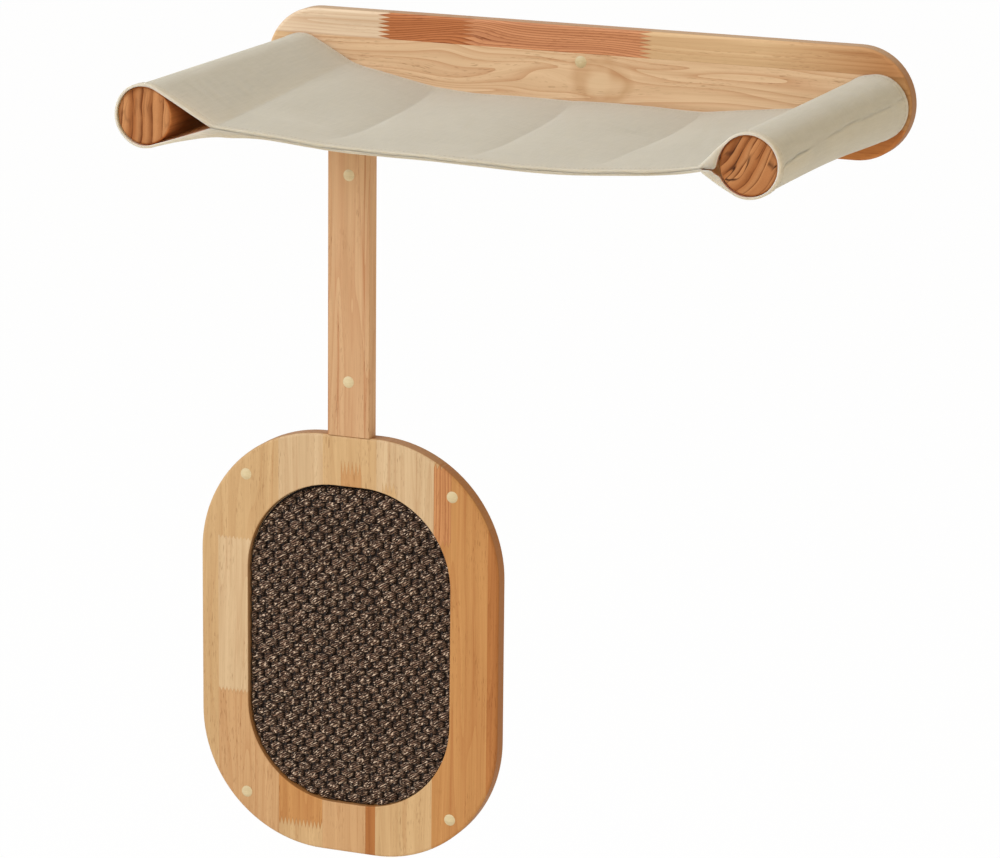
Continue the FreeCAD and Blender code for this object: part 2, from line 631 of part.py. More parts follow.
class SlingSection:
    """The sling's section across the arms, in x and z from the point between the arms' axes.
    Each sleeve is a teardrop of one ply round its arm, closed by a seam; between the seams the
    two plies lie together and hang in shallow folds."""

    def __init__(self):
        self.ply = size("canvas_ply")
        self.axis_x = size("arm_spacing") / 2
        self.inner_radius = size("arm_diameter") / 2 + size("sleeve_clearance")
        self.outer_radius = self.inner_radius + self.ply
        self.seam_x = self.axis_x - size("seam_reach")
        self.seam_z = -size("seam_drop")
        seam_distance = math.hypot(size("seam_reach"), size("seam_drop"))
        seam_angle = math.atan2(-size("seam_drop"), size("seam_reach"))
        touch = math.acos(self.inner_radius / seam_distance)
        # directions from the left arm's axis to where the canvas leaves the arm
        self.upper_touch = seam_angle + touch
        self.lower_touch = seam_angle - touch

    def round_point(self, radius, angle):
        """A point of the left sleeve's round part."""
        return (-self.axis_x + radius * math.cos(angle), radius * math.sin(angle))

    def seam_corner(self, upper):
        """Where the left sleeve's outer face meets the deck's face, above or below the seam."""
        slope = abs(math.pi / 2 - abs(self.upper_touch if upper else self.lower_touch))
        across = self.ply * math.tan(slope / 2)
        up = self.ply if upper else -self.ply
        return (-self.seam_x + across, self.seam_z + up)

    def sleeve_wire(self, outer, mirror):
        """One closed outline of a sleeve: the outside, or the teardrop space inside."""
        radius = self.outer_radius if outer else self.inner_radius
        wrap = 2 * math.pi - (self.upper_touch - self.lower_touch)
        turns = [self.upper_touch + wrap * i / 4 for i in range(5)]
        rounds = [self.flat_point(self.round_point(radius, turn), mirror) for turn in turns]
        edges = [
            Part.Arc(rounds[0], rounds[1], rounds[2]).toShape(),
            Part.Arc(rounds[2], rounds[3], rounds[4]).toShape(),
        ]
        if outer:
            tip = [self.seam_corner(upper=False), self.seam_corner(upper=True)]
        else:
            tip = [(-self.seam_x, self.seam_z)]
        corners = [rounds[4]] + [self.flat_point(point, mirror) for point in tip] + [rounds[0]]
        edges += [Part.LineSegment(a, b).toShape() for a, b in zip(corners, corners[1:])]
        return Part.Wire(edges)

    @staticmethod
    def flat_point(point, mirror, y=0.0):
        x, z = point
        return Vector(-x if mirror else x, y, z)

    def fold_points(self):
        """The deck's middle line: the seams and the three fold lines between them."""
        return [
            (-self.seam_x, self.seam_z),
            (-self.seam_x + size("left_fold_reach"), self.seam_z - size("left_fold_drop")),
            (0.0, self.seam_z - size("mid_fold_drop")),
            (self.seam_x - size("right_fold_reach"), self.seam_z - size("right_fold_drop")),
            (self.seam_x, self.seam_z),
        ]

    def deck_wire(self, y, puff):
        """The deck's outline at depth y, with its folds puffed up by that share."""
        faces = []
        for upper in (True, False):
            lift = self.ply if upper else -self.ply
            corner_x, corner_z = self.seam_corner(upper)
            points = [(x, z + lift) for x, z in self.fold_points()]
            points[0] = (corner_x, corner_z)
            points[-1] = (-corner_x, corner_z)
            arcs = []
            for start, end, share in zip(points, points[1:], DECK_PUFFS):
                rise = size("fold_puff") * share * puff
                middle = ((start[0] + end[0]) / 2, (start[1] + end[1]) / 2 + rise)
                ends = [self.flat_point(point, False, y) for point in (start, middle, end)]
                arcs.append(Part.Arc(*ends).toShape())
            faces.append((points, arcs))
        (upper_points, upper_arcs), (lower_points, lower_arcs) = faces
        right = Part.LineSegment(self.flat_point(upper_points[-1], False, y),
                                 self.flat_point(lower_points[-1], False, y)).toShape()
        left = Part.LineSegment(self.flat_point(lower_points[0], False, y),
                                self.flat_point(upper_points[0], False, y)).toShape()
        lower_back = [Part.Arc(e.valueAt(e.LastParameter),
                               e.valueAt((e.FirstParameter + e.LastParameter) / 2),
                               e.valueAt(e.FirstParameter)).toShape() for e in reversed(lower_arcs)]
        return Part.Wire(upper_arcs + [right] + lower_back + [left])


# how far each of the deck's four stretches stands above (or hangs below) its straight line,
# from left to right, as shares of fold_puff
DECK_PUFFS = (0.5, 1.0, 0.8, -0.9)
# how strongly the folds show at stations from the back hem to the front hem
FOLD_STATIONS = ((0.0, 0.7), (0.35, 1.0), (0.7, 1.0), (1.0, 0.35))


def make_canvas_sling():
    section = SlingSection()
    length = size("arm_length") - size("sling_gap") + size("sling_overhang")
    solids = []
    for mirror in (False, True):
        outline = Part.Face(section.sleeve_wire(outer=True, mirror=mirror))
        space = Part.Face(section.sleeve_wire(outer=False, mirror=mirror))
        solids.append(outline.cut(space).extrude(Vector(0, -length, 0)))
    wires = [section.deck_wire(-length * share, puff) for share, puff in FOLD_STATIONS]
    solids.append(Part.makeLoft(wires, True, False))
    shape = solids[2].fuse(solids[:2])
    sling = doc.addObject("Part::Feature", "CanvasSling")
    sling.Shape = shape.Solids[0]
    sling.Placement = Placement(Vector(0, -size("plate_thickness") - size("sling_gap"), 0), Rotation())
    if len(shape.Solids) != 1:
        raise ValueError("the sling's sleeves and deck aren't one piece")
    return keep(sling, "canvas_sling")


# ---------------------------------------------------------------------------------------------
# The whole tree
# ---------------------------------------------------------------------------------------------

make_back_plate()
left_arm = make_arm("LeftArm", "left_arm", "-Sizes.arm_spacing / 2")
right_arm = make_arm("RightArm", "right_arm", "Sizes.arm_spacing / 2")
group("ArmBolts", "arm_bolts", [make_arm_bolt(side, x) for side, x in ARM_SIDES])
group("ArmWashers", "arm_washers", [make_arm_washer(side, x) for side, x in ARM_SIDES])
group("ArmInserts", "arm_inserts", [make_arm_insert(side, x) for side, x in ARM_SIDES])
make_post()
make_joint_pins("PlateJointPins", "plate_joint_pins", POST_TOP_Z)
make_joint_pins("FrameJointPins", "frame_joint_pins", FRAME_TOP_Z)
make_scratch_frame()
make_backing_board()
group("BackingScrews", "backing_screws",
      [make_tack(i, x, z) for i, (x, z) in enumerate(tack_places())])
make_scratch_mat()
make_caps("PlateCap", "plate_screw_caps", PLATE_SCREWS, "0", "0", "Sizes.plate_thickness")
make_caps("PostCap", "post_screw_caps", POST_SCREWS, POST_X, POST_TOP_Z, "Sizes.post_thickness")
make_caps("FrameCap", "frame_screw_caps", FRAME_SCREWS, POST_X, FRAME_MID_Z,
          "Sizes.frame_thickness")
sling = make_canvas_sling()
doc.recompute()

# ---------------------------------------------------------------------------------------------
# Checks and export
# ---------------------------------------------------------------------------------------------

for thing in doc.Objects:
    if "Invalid" in thing.State or "Error" in thing.State:
        raise ValueError(f"{thing.Name} failed: {thing.State}")
for part in parts:
    if part.Shape.isNull() or not part.Shape.isValid():
        raise ValueError(f"{part.Label} has no valid shape")

for arm in (left_arm, right_arm):
    gap = sling.Shape.distToShape(arm.Shape)[0]
    print(f"canvas clear of {arm.Label}: {gap:.2f} mm")

os.makedirs("parts", exist_ok=True)
for part in parts:
    part.Shape.exportStep(f"parts/{part.Label}.step")
    print(f"{part.Label}: {len(part.Shape.Solids)} solid(s), {part.Shape.Volume / 1000:.1f} cm3")
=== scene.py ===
"""Looks of the wall mounted cat tree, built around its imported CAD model.

Metres throughout, in the CAD model's frame: the wall is the plane y = 0, the front faces -Y, X runs
to the right as seen from the front, Z up, and the origin is the middle of the plate's back face.
"""
import math

import bpy
import numpy as np
from mathutils import Matrix, Vector


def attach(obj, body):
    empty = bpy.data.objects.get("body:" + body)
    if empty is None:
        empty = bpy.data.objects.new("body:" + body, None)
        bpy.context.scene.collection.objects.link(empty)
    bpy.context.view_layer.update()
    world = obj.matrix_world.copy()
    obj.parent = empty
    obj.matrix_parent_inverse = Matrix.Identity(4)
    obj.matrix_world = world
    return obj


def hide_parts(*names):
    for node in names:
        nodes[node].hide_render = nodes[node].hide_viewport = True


MM = 0.001
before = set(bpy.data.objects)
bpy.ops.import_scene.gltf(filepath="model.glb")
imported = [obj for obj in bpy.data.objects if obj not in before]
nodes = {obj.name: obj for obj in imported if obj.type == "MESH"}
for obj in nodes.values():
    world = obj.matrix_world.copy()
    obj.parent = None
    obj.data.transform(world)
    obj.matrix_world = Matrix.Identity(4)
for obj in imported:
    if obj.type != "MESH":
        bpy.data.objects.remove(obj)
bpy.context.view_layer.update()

# ---------------------------------------------------------------------------------------------
# Shader node helpers
# ---------------------------------------------------------------------------------------------

WHITE = (1.0, 1.0, 1.0, 1.0)


def rgb(red, green, blue):
    """A colour as the screen shows it, 0 to 255, in the linear values that shaders take."""
    def linear(value):
        value /= 255.0
        return value / 12.92 if value <= 0.04045 else ((value + 0.055) / 1.055) ** 2.4
    return (linear(red), linear(green), linear(blue), 1.0)


def darker(tone, share):
    """A tone as the screen shows it, darkened to a share of itself."""
    return rgb(*(share * part for part in tone))


class Flow:
    """A number, colour or vector that changes over the surface. Arithmetic on it makes nodes."""

    def __init__(self, tree, socket):
        self.tree, self.socket = tree, socket

    def __add__(self, other):
        return self.tree.math("ADD", self, other)

    def __sub__(self, other):
        return self.tree.math("SUBTRACT", self, other)

    def __rsub__(self, other):
        return self.tree.math("SUBTRACT", other, self)

    def __mul__(self, other):
        return self.tree.math("MULTIPLY", self, other)

    def __truediv__(self, other):
        return self.tree.math("DIVIDE", self, other)

    def __rtruediv__(self, other):
        return self.tree.math("DIVIDE", other, self)

    def __pow__(self, other):
        return self.tree.math("POWER", self, other)

    def __abs__(self):
        return self.tree.math("ABSOLUTE", self)

    __radd__ = __add__
    __rmul__ = __mul__


class Tree:
    """Makes nodes in one node tree. Every value is a plain one or a Flow, and so are results."""

    def __init__(self, tree):
        self.tree = tree

    def feed(self, sockets, **values):
        """Feeds values to sockets by name, with _ for a space in the name."""
        for name, value in values.items():
            self.feed_one(sockets[name.replace("_", " ")], value)

    def feed_one(self, socket, value):
        if isinstance(value, Flow):
            self.tree.links.new(value.socket, socket)
        elif value is not None:
            socket.default_value = value

    def node(self, kind, values=(), out=0, **settings):
        """A new node: its settings by name, its first inputs in order, and one of its outputs."""
        node = self.tree.nodes.new(kind)
        for name, value in settings.items():
            setattr(node, name, value)
        for socket, value in zip(node.inputs, values):
            self.feed_one(socket, value)
        return Flow(self, node.outputs[out])

    def math(self, operation, *values):
        return self.node("ShaderNodeMath", values, operation=operation)

    def vector(self, x, y, z):
        return self.node("ShaderNodeCombineXYZ", (x, y, z))

    def split(self, vector):
        node = self.tree.nodes.new("ShaderNodeSeparateXYZ")
        self.feed_one(node.inputs[0], vector)
        return [Flow(self, output) for output in node.outputs]

    def noise(self, vector, scale, detail=2.0, roughness=0.5):
        """Soft noise, from 0 to 1 with its middle at 0.5."""
        node = self.tree.nodes.new("ShaderNodeTexNoise")
        self.feed(node.inputs, Vector=vector, Scale=scale, Detail=detail, Roughness=roughness)
        return Flow(self, node.outputs["Fac"])

    def span(self, value, low, high, to_low=0.0, to_high=1.0):
        """Maps low..high to to_low..to_high, held at the ends."""
        return self.node("ShaderNodeMapRange", (value, low, high, to_low, to_high), clamp=True)

    def mix(self, share, first, second, blend="MIX"):
        """Two colours mixed."""
        node = self.tree.nodes.new("ShaderNodeMix")
        node.data_type, node.blend_type, node.clamp_factor = "RGBA", blend, True
        for number, value in ((0, share), (6, first), (7, second)):
            self.feed_one(node.inputs[number], value)
        return Flow(self, node.outputs[2])

    def tinted(self, colour, tint):
        """A colour times a tint."""
        return self.mix(1.0, colour, tint, "MULTIPLY")

    def place(self, name, **values):
        """Puts in a node group, fed by name, and gives its outputs by name."""
        node = self.tree.nodes.new("ShaderNodeGroup")
        node.node_tree = bpy.data.node_groups[name]
        self.feed(node.inputs, **values)
        return {output.name: Flow(self, output) for output in node.outputs}

    def object_point(self):
        """The place in the CAD frame, which moves with the piece."""
        return self.node("ShaderNodeTexCoord", out="Object")

    def face_normal(self):
        """The way each face looks, as x, y and z."""
        return self.split(self.node("ShaderNodeNewGeometry", out="True Normal"))


def new_group(name, outputs, **inputs):
    """A shader node group. inputs are default values by name: a number, a colour, or None for a
    vector. Gives its Tree, its inputs by name, and its outputs' sockets, of which Colour is a
    colour and the others are numbers."""
    group = bpy.data.node_groups.new(name, "ShaderNodeTree")
    for key, default in inputs.items():
        kind = "Vector" if default is None else "Float" if isinstance(default, float) else "Color"
        socket = group.interface.new_socket(key.replace("_", " "), in_out="INPUT",
                                            socket_type="NodeSocket" + kind)
        if default is not None:
            socket.default_value = default
    for key in outputs:
        kind = "Color" if key == "Colour" else "Float"
        group.interface.new_socket(key, in_out="OUTPUT", socket_type="NodeSocket" + kind)
    tree = Tree(group)
    given = {socket.name: Flow(tree, socket) for socket in group.nodes.new("NodeGroupInput").outputs}
    return tree, given, group.nodes.new("NodeGroupOutput").inputs


def new_material(name, **settings):
    """A material with one Principled shader, whose plain settings go by name. Gives its Tree."""
    material = bpy.data.materials.new(name)
    material.use_nodes = True
    tree = Tree(material.node_tree)
    tree.material = material
    tree.shader = material.node_tree.nodes["Principled BSDF"].inputs
    tree.feed(tree.shader, **settings)
    return tree


def finish_material(tree, colour, height, depth, strength, roughness=None):
    """Feeds the shader its colour, its relief (height 0 to 1 stands for depth) and roughness, and
    gives the material."""
    bump = tree.tree.nodes.new("ShaderNodeBump")
    tree.feed(bump.inputs, Strength=strength, Distance=depth, Height=height)
    tree.feed(tree.shader, Base_Color=colour, Roughness=roughness, Normal=Flow(tree, bump.outputs[0]))
    return tree.material


def dress(material, *node_names):
    """Gives CAD nodes' objects one material."""
    for name in node_names:
        nodes[name].data.materials.clear()
        nodes[name].data.materials.append(material)


# ---------------------------------------------------------------------------------------------
# Camera, lamps, floor
# ---------------------------------------------------------------------------------------------

CAMERA_PLACE = (1.44189, -3.72070, 0.65812)
CAMERA_AZIMUTH = math.radians(22.241)
CAMERA_ELEVATION = math.radians(13.774)
CAMERA_ROLL = math.radians(0.6014)
CAMERA_LENS = 163.38
SENSOR_WIDTH = 36.0
NEAREST_SEEN, FURTHEST_SEEN = 0.1, 60.0

WORLD_COLOUR = (1.0, 0.907, 0.741, 1.0)
WORLD_LIGHT = 0.73
LAMPS = [
    # (name, place, the point it looks at, width, watts, colour)
    ("key", (-2.6, -2.8, 3.2), (-0.05, 0, -0.3), 1.8, 180.0, (0.683, 0.802, 1.0)),
    ("fill", (3.2, -2.4, 0.2), (0.1, 0, -0.2), 2.2, 22.0, (1.0, 0.95, 0.86)),
]

FLOOR_LEVEL = -1.30
FLOOR_HALF = 12.0
FLOOR_TONE = (0.92, 0.92, 0.92, 1.0)
FLOOR_WHITE = 0.97  # how far the camera sees plain white instead of the floor's own shade


def make_camera():
    """Looks from the front right and a little from above, as in the photograph."""
    data = bpy.data.cameras.new("camera")
    data.lens = CAMERA_LENS
    data.sensor_width = SENSOR_WIDTH
    data.clip_start = NEAREST_SEEN
    data.clip_end = FURTHEST_SEEN
    camera = bpy.data.objects.new("camera", data)
    bpy.context.collection.objects.link(camera)
    turn, dip = CAMERA_AZIMUTH, CAMERA_ELEVATION
    right = Vector((math.cos(turn), math.sin(turn), 0))
    ahead = Vector((-math.sin(turn) * math.cos(dip), math.cos(turn) * math.cos(dip), -math.sin(dip)))
    up = right.cross(ahead)
    rolled_right = math.cos(CAMERA_ROLL) * right + math.sin(CAMERA_ROLL) * up
    rolled_up = math.cos(CAMERA_ROLL) * up - math.sin(CAMERA_ROLL) * right
    axes = Matrix((rolled_right, rolled_up, -ahead)).transposed()
    camera.matrix_world = Matrix.Translation(CAMERA_PLACE) @ axes.to_4x4()
    bpy.context.scene.camera = camera


def make_lamp(name, place, aim, width, watts, colour):
    """A square area lamp that looks at a point."""
    data = bpy.data.lights.new(name, "AREA")
    data.shape = "SQUARE"
    data.size = width
    data.energy = watts
    data.color = colour
    lamp = bpy.data.objects.new(name, data)
    bpy.context.collection.objects.link(lamp)
    lamp.location = place
    lamp.rotation_mode = "QUATERNION"
    lamp.rotation_quaternion = (Vector(aim) - Vector(place)).to_track_quat("-Z", "Y")


def seen_directly(tree):
    """1 on rays from the camera, reflected off gloss or through glass, and 0 on all others."""
    path = tree.tree.nodes.new("ShaderNodeLightPath").outputs
    rays = [Flow(tree, path[kind]) for kind in ("Is Camera Ray", "Is Glossy Ray", "Is Transmission Ray")]
    return tree.math("MAXIMUM", tree.math("MAXIMUM", rays[0], rays[1]), rays[2])


def make_surroundings():
    """White all round for the camera, and an even soft light for the object."""
    bpy.context.scene.view_settings.view_transform = "Standard"
    world = bpy.data.worlds.new("studio")
    bpy.context.scene.world = world
    world.use_nodes = True
    world.node_tree.nodes.clear()
    tree = Tree(world.node_tree)
    light = tree.node("ShaderNodeBackground", (WORLD_COLOUR, WORLD_LIGHT))
    white = tree.node("ShaderNodeBackground", (WHITE, 1.0))
    choice = tree.node("ShaderNodeMixShader", (seen_directly(tree), light, white))
    tree.feed(world.node_tree.nodes.new("ShaderNodeOutputWorld").inputs, Surface=choice)


def make_floor():
    """A wide pale floor below the tree, nearly white to the camera but for the tree's shadow."""
    mesh = bpy.data.meshes.new("floor")
    half = FLOOR_HALF
    corners = [(-half, -half, 0), (half, -half, 0), (half, half, 0), (-half, half, 0)]
    mesh.from_pydata(corners, [], [(0, 1, 2, 3)])
    floor = bpy.data.objects.new("floor", mesh)
    floor.location = (0, 0, FLOOR_LEVEL)
    bpy.context.collection.objects.link(floor)
    tree = new_material("floor_white", Base_Color=FLOOR_TONE, Roughness=0.9)
    surface = Flow(tree, tree.tree.nodes["Principled BSDF"].outputs[0])
    white = tree.node("ShaderNodeEmission", (WHITE, 1.0))
    blend = tree.node("ShaderNodeMixShader", (seen_directly(tree) * FLOOR_WHITE, surface, white))
    tree.feed(tree.tree.nodes["Material Output"].inputs, Surface=blend)
    floor.data.materials.append(tree.material)


# ---------------------------------------------------------------------------------------------
# Wood
# ---------------------------------------------------------------------------------------------

PLAIN_LINES = 0.25  # how strongly a plain stave shows its ring lines
WOOD_GLOSS = 0.1
PORE_TINT = (0.50, 0.38, 0.28, 1.0)
GLUE_TONE = (140, 92, 56)
EYE_RIM_TONE, EYE_TONE = (178, 126, 78), (224, 194, 154)


def make_grain_group():
    """Pale close-grained hardwood: soft bands, thin streaks and short dark pores along the grain.
    Along, Across and Deep are metres; each stave's own seed moves it to fresh wood."""
    tree, given, out = new_group(
        "wood grain", ("Colour", "Height", "Roughness"), Along=0.0, Across=0.0, Deep=0.0, Seed=0.0,
        Colour=(0.6, 0.4, 0.25, 1.0), Streak_colour=(0.4, 0.2, 0.1, 1.0), Streaks=0.35,
        Lines=PLAIN_LINES, Rings=9.0, Straight=0.0, Bands=0.18, Pores=0.5, Waviness=0.004)
    along = given["Along"] + given["Seed"] * 7.31
    # the grain runs in long slow waves
    slow = tree.vector(along * 5.0, given["Across"] * 14.0, given["Deep"] * 14.0)
    bend = (tree.noise(slow, 1.0, 1.0) - 0.5) * (given["Waviness"] * 2.0)
    across = given["Across"] + bend
    deep = given["Deep"] + bend

    def stretched(along_scale, across_scale, detail, roughness=0.5):
        """Noise with its own number of spots in a metre along and across the grain."""
        spot = tree.vector(along * along_scale, across * across_scale, deep * across_scale)
        return tree.noise(spot, 1.0, detail, roughness)

    band = tree.span(stretched(2.2, 130.0, 3.0, 0.6), 0.35, 0.68)
    thread = stretched(14.0, 1150.0, 2.0, 0.55)
    streak = tree.span(stretched(3.2, 210.0, 2.0, 0.65), 0.56, 0.74)
    cloud = stretched(6.0, 18.0, 2.0)
    pore = tree.span(stretched(115.0, 1500.0, 1.0, 0.4), 0.62, 0.70)
    pore = pore * tree.span(stretched(9.0, 75.0, 1.0), 0.38, 0.62)

    # thin dark lines where the growth rings come to the face
    ring = stretched(1.9, 44.0, 1.0, 0.4) * given["Rings"] + across * given["Straight"]
    ring = tree.math("FRACT", ring) ** 3.0

    shade = (band - 0.5) * given["Bands"] + (thread - 0.5) * 0.26 + (cloud - 0.5) * 0.16
    shade = 1.0 - shade
    colour = tree.tinted(given["Colour"], tree.vector(shade ** 0.75, shade, shade ** 1.25))
    colour = tree.mix(streak * given["Streaks"], colour, given["Streak colour"])
    colour = tree.mix(ring * given["Lines"], colour, given["Streak colour"])
    colour = tree.mix(pore * given["Pores"], colour, tree.tinted(colour, PORE_TINT))
    tree.feed(out, Colour=colour, Height=thread * 0.5 - pore * 0.6,
              Roughness=0.46 + (thread + pore) * 0.10)


def make_stave_group():
    """One stave of an edge-glued board: 1 inside its stretch, whose two ends are cut in fingers,
    and a thin glue line round it."""
    tree, given, out = new_group(
        "stave", ("Mask", "Glue line"), Along=0.0, Across=0.0, Start=0.0, End=0.0, Low=0.0, High=0.0,
        Finger_length=0.008, Finger_pitch=0.0038)
    half_pitch = given["Finger pitch"] * 0.5
    tooth = tree.math("PINGPONG", given["Across"], half_pitch) / half_pitch
    along = given["Along"] + (tooth - 0.5) * given["Finger length"]
    sides = tree.math("MINIMUM", given["Across"] - given["Low"], given["High"] - given["Across"])
    # a finger's flank is steep, so a distance along it counts for less across it
    ends = tree.math("MINIMUM", along - given["Start"], given["End"] - along) * 0.30
    inside = tree.math("MINIMUM", sides, ends)
    mask = tree.math("GREATER_THAN", inside, 0.0)
    tree.feed(out, Mask=mask, Glue_line=mask * tree.span(inside, 0.0001, 0.0004, 1.0, 0.0))


def make_end_grain_group():
    """The sawn end of a bar: growth rings seen as curved bands, rays and cracks."""
    tree, given, out = new_group(
        "end grain", ("Colour",), Side=0.0, Up=0.0, Turn=0.0, Curve=3.0, Ring_pitch=0.009, Cracks=0.5,
        Seed=0.0)
    seed = given["Seed"]
    cosine = tree.math("COSINE", given["Turn"])
    sine = tree.math("SINE", given["Turn"])
    across = given["Side"] * cosine + given["Up"] * (sine * -1.0)
    upward = given["Side"] * sine + given["Up"] * cosine
    spot = tree.vector(across, upward, seed)
    sway = (tree.noise(spot, 34.0, 1.0) - 0.5) * 0.006
    plain_place = across + upward * upward * given["Curve"] + sway
    # some years are wide and some are narrow
    uneven = tree.noise(tree.vector(plain_place * 95.0, 0.0, seed), 1.0, 1.0)
    ring_place = tree.math("MULTIPLY_ADD", uneven, 0.016, plain_place)
    year = tree.noise(tree.vector(plain_place * 130.0, 0.0, seed + 9.0), 1.0, 0.0)
    phase = tree.math("FRACT", ring_place / given["Ring pitch"] + 20.3)
    late = phase * 0.35 + phase ** 7.0
    late = late * tree.span(tree.noise(spot, 70.0, 1.0), 0.3, 0.6, 0.45, 1.0)
    early = tree.mix(tree.span(year, 0.35, 0.65), rgb(164, 100, 54), rgb(196, 136, 86))
    colour = tree.mix(late, early, rgb(110, 58, 26))
    fine = tree.noise(tree.vector(ring_place * 900.0, upward * 120.0, seed), 1.0, 2.0)
    shade = 0.76 + (fine + tree.noise(spot, 950.0, 2.0)) * 0.22
    colour = tree.tinted(colour, tree.vector(shade, shade, shade))
    crack_spot = tree.vector(ring_place * 160.0, upward * 26.0, seed + 3.7)
    crack = tree.span(abs(tree.noise(crack_spot, 1.0, 1.0) - 0.5), 0.008, 0.034, 1.0, 0.0)
    where = tree.span(tree.noise(spot, 42.0, 1.0), 0.44, 0.54)
    crack = crack * where * given["Cracks"]
    tree.feed(out, Colour=tree.mix(crack, colour, rgb(70, 36, 18)))


STAVE_TONES = {
    # name: (wood, streak) as the screen shows them
    "cream": ((226, 200, 168), (188, 134, 92)),
    "straw": ((216, 180, 136), (178, 120, 74)),
    "tan": ((210, 168, 118), (184, 128, 78)),
    "honey": ((204, 151, 98), (174, 110, 62)),
    "orange": ((199, 140, 82), (170, 98, 50)),
    "rust": ((182, 116, 62), (144, 78, 38)),
    "red": ((196, 124, 77), (122, 56, 32)),
    "birch": ((223, 188, 148), (186, 128, 84)),
    "amber": ((207, 159, 110), (176, 116, 68)),
    "russet": ((204, 140, 88), (156, 86, 46)),
    "rose": ((212, 148, 104), (136, 70, 44)),
    "oak": ((182, 130, 84), (146, 94, 52)),
    "pink": ((203, 161, 119), (168, 102, 58)),
    "umber_and_painted_shade": ((172, 126, 80), (134, 86, 48)),
}

PLATE_STAVES = [
    # (start, end, low, high, tone, seed, finger length, lines); the upper row, cut down by the
    # plate's top edge
    (-320, -190, 26, 60, "cream", 1, 12, 0.35), (-190, -108, 26, 60, "red", 2, 12, 0.9),
    (-108, 60.5, 26, 60, "rose", 2, 12, 0.8), (60.5, 320, 26, 60, "straw", 3, 12, 0.3),
    # the middle row
    (-320, -262, -20, 26, "straw", 4, 0, 0.3), (-262, 284, -20, 26, "birch", 5, 0, 0.55),
    # the dark umber stave beside the right sleeve is partly painted shade, where the sleeve shades the
    # plate
    (284, 320, -20, 26, "umber_and_painted_shade", 6, 0, 0.3),
    # the lower row, cut down by the plate's lower edge
    (-320, -40, -60, -20, "tan", 7, 0, 0.3), (-40, 150, -60, -20, "straw", 8, 0, 0.3),
    # the rust stave under the right sleeve is partly painted shade from the sleeve
    (150, 320, -60, -20, "rust", 9, 0, 0.4),
]
PLATE_KNOTS = [(-100, 34, 26), (18, 6, 34), (-120, 12, 46), (-40, 0, 30)]
PLATE_EYES = [(20, 3, 23, 16)]
PLATE_DARKER_END = (170, 285, 26, "oak")

FRAME_STAVES = [
    # (bottom, top, left, right, tone, seed, finger length, lines)
    (-760, -340, -380, -358, "tan", 11, 0, 0.2),
    (-760, -604.5, -358, -295.5, "amber", 12, 6, 0.35),
    (-604.5, -455.5, -358, -295.5, "straw", 13, 3, 0.2),
    (-455.5, -340, -358, -295.5, "tan", 14, 3, 0.2),
    (-760, -727, -295.5, -250.3, "tan", 15, 8, 0.2),
    (-727, -640, -295.5, -250.3, "orange", 16, 8, 0.3),
    (-640, -340, -295.5, -250.3, "straw", 28, 0, 0.2),
    (-760, -640, -250.3, -196, "amber", 17, 0, 0.25),
    (-640, -340, -250.3, -196, "tan", 18, 0, 0.2),
    (-400, -376, -232, -211, "honey", 26, 14, 0.3),
    (-760, -640, -206, -196, "rust", 29, 0, 0.6),
    (-760, -640, -196, -138.5, "tan", 19, 0, 0.2),
    (-640, -340, -196, -138.5, "straw", 20, 0, 0.2),
    (-410, -390, -190, -176, "tan", 27, 10, 0.35),
    (-760, -365, -138.5, -84, "orange", 22, 3, 0.3),
    (-438, -365, -138.5, -121, "russet", 23, 6, 0.7),
    (-365, -340, -138.5, -84, "tan", 24, 6, 0.2),
    (-760, -340, -84, -70, "rust", 25, 0, 0.3),
]

POST_STAVES = [(-360, 0, -260, -190, "pink", 31, 0, 0.3)]


def recolour(tree, share, tones, tone):
    """Mixes a tone's wood and streak colours into a pair of them."""
    return [tree.mix(share, before, rgb(*after)) for before, after in zip(tones, STAVE_TONES[tone])]


def bowed_round_knots(tree, along, across, knots):
    """The place across the grain, pushed aside round each knot."""
    bent = across
    for knot_along, knot_across, width in knots:
        away = (along - knot_along * MM) / (width * MM)
        off = (across - knot_across * MM) / (width * MM * 0.5)
        push = tree.math("EXPONENT", (away * away + off * off) * -1.0)
        bent = bent + push * (off * (width * MM * -0.42))
    return bent


def with_eyes(tree, colour, along, across, eyes):
    """Pale rounds with a darker outline, drawn a little unevenly."""
    for eye_along, eye_across, half_long, half_wide in eyes:
        off = tree.vector((along - eye_along * MM) / (half_long * MM),
                          (across - eye_across * MM) / (half_wide * MM), 0.0)
        length = tree.node("ShaderNodeVectorMath", (off,), out="Value", operation="LENGTH")
        reach = length + tree.noise(tree.object_point(), 46.0, 1.0) * 1.3
        rim = tree.span(reach, 1.2, 1.65) * tree.span(reach, 2.1, 1.7)
        colour = tree.mix(rim * 0.36, colour, rgb(*EYE_RIM_TONE))
        colour = tree.mix(tree.span(reach, 1.6, 1.0, 0.0, 0.5), colour, rgb(*EYE_TONE))
    return colour


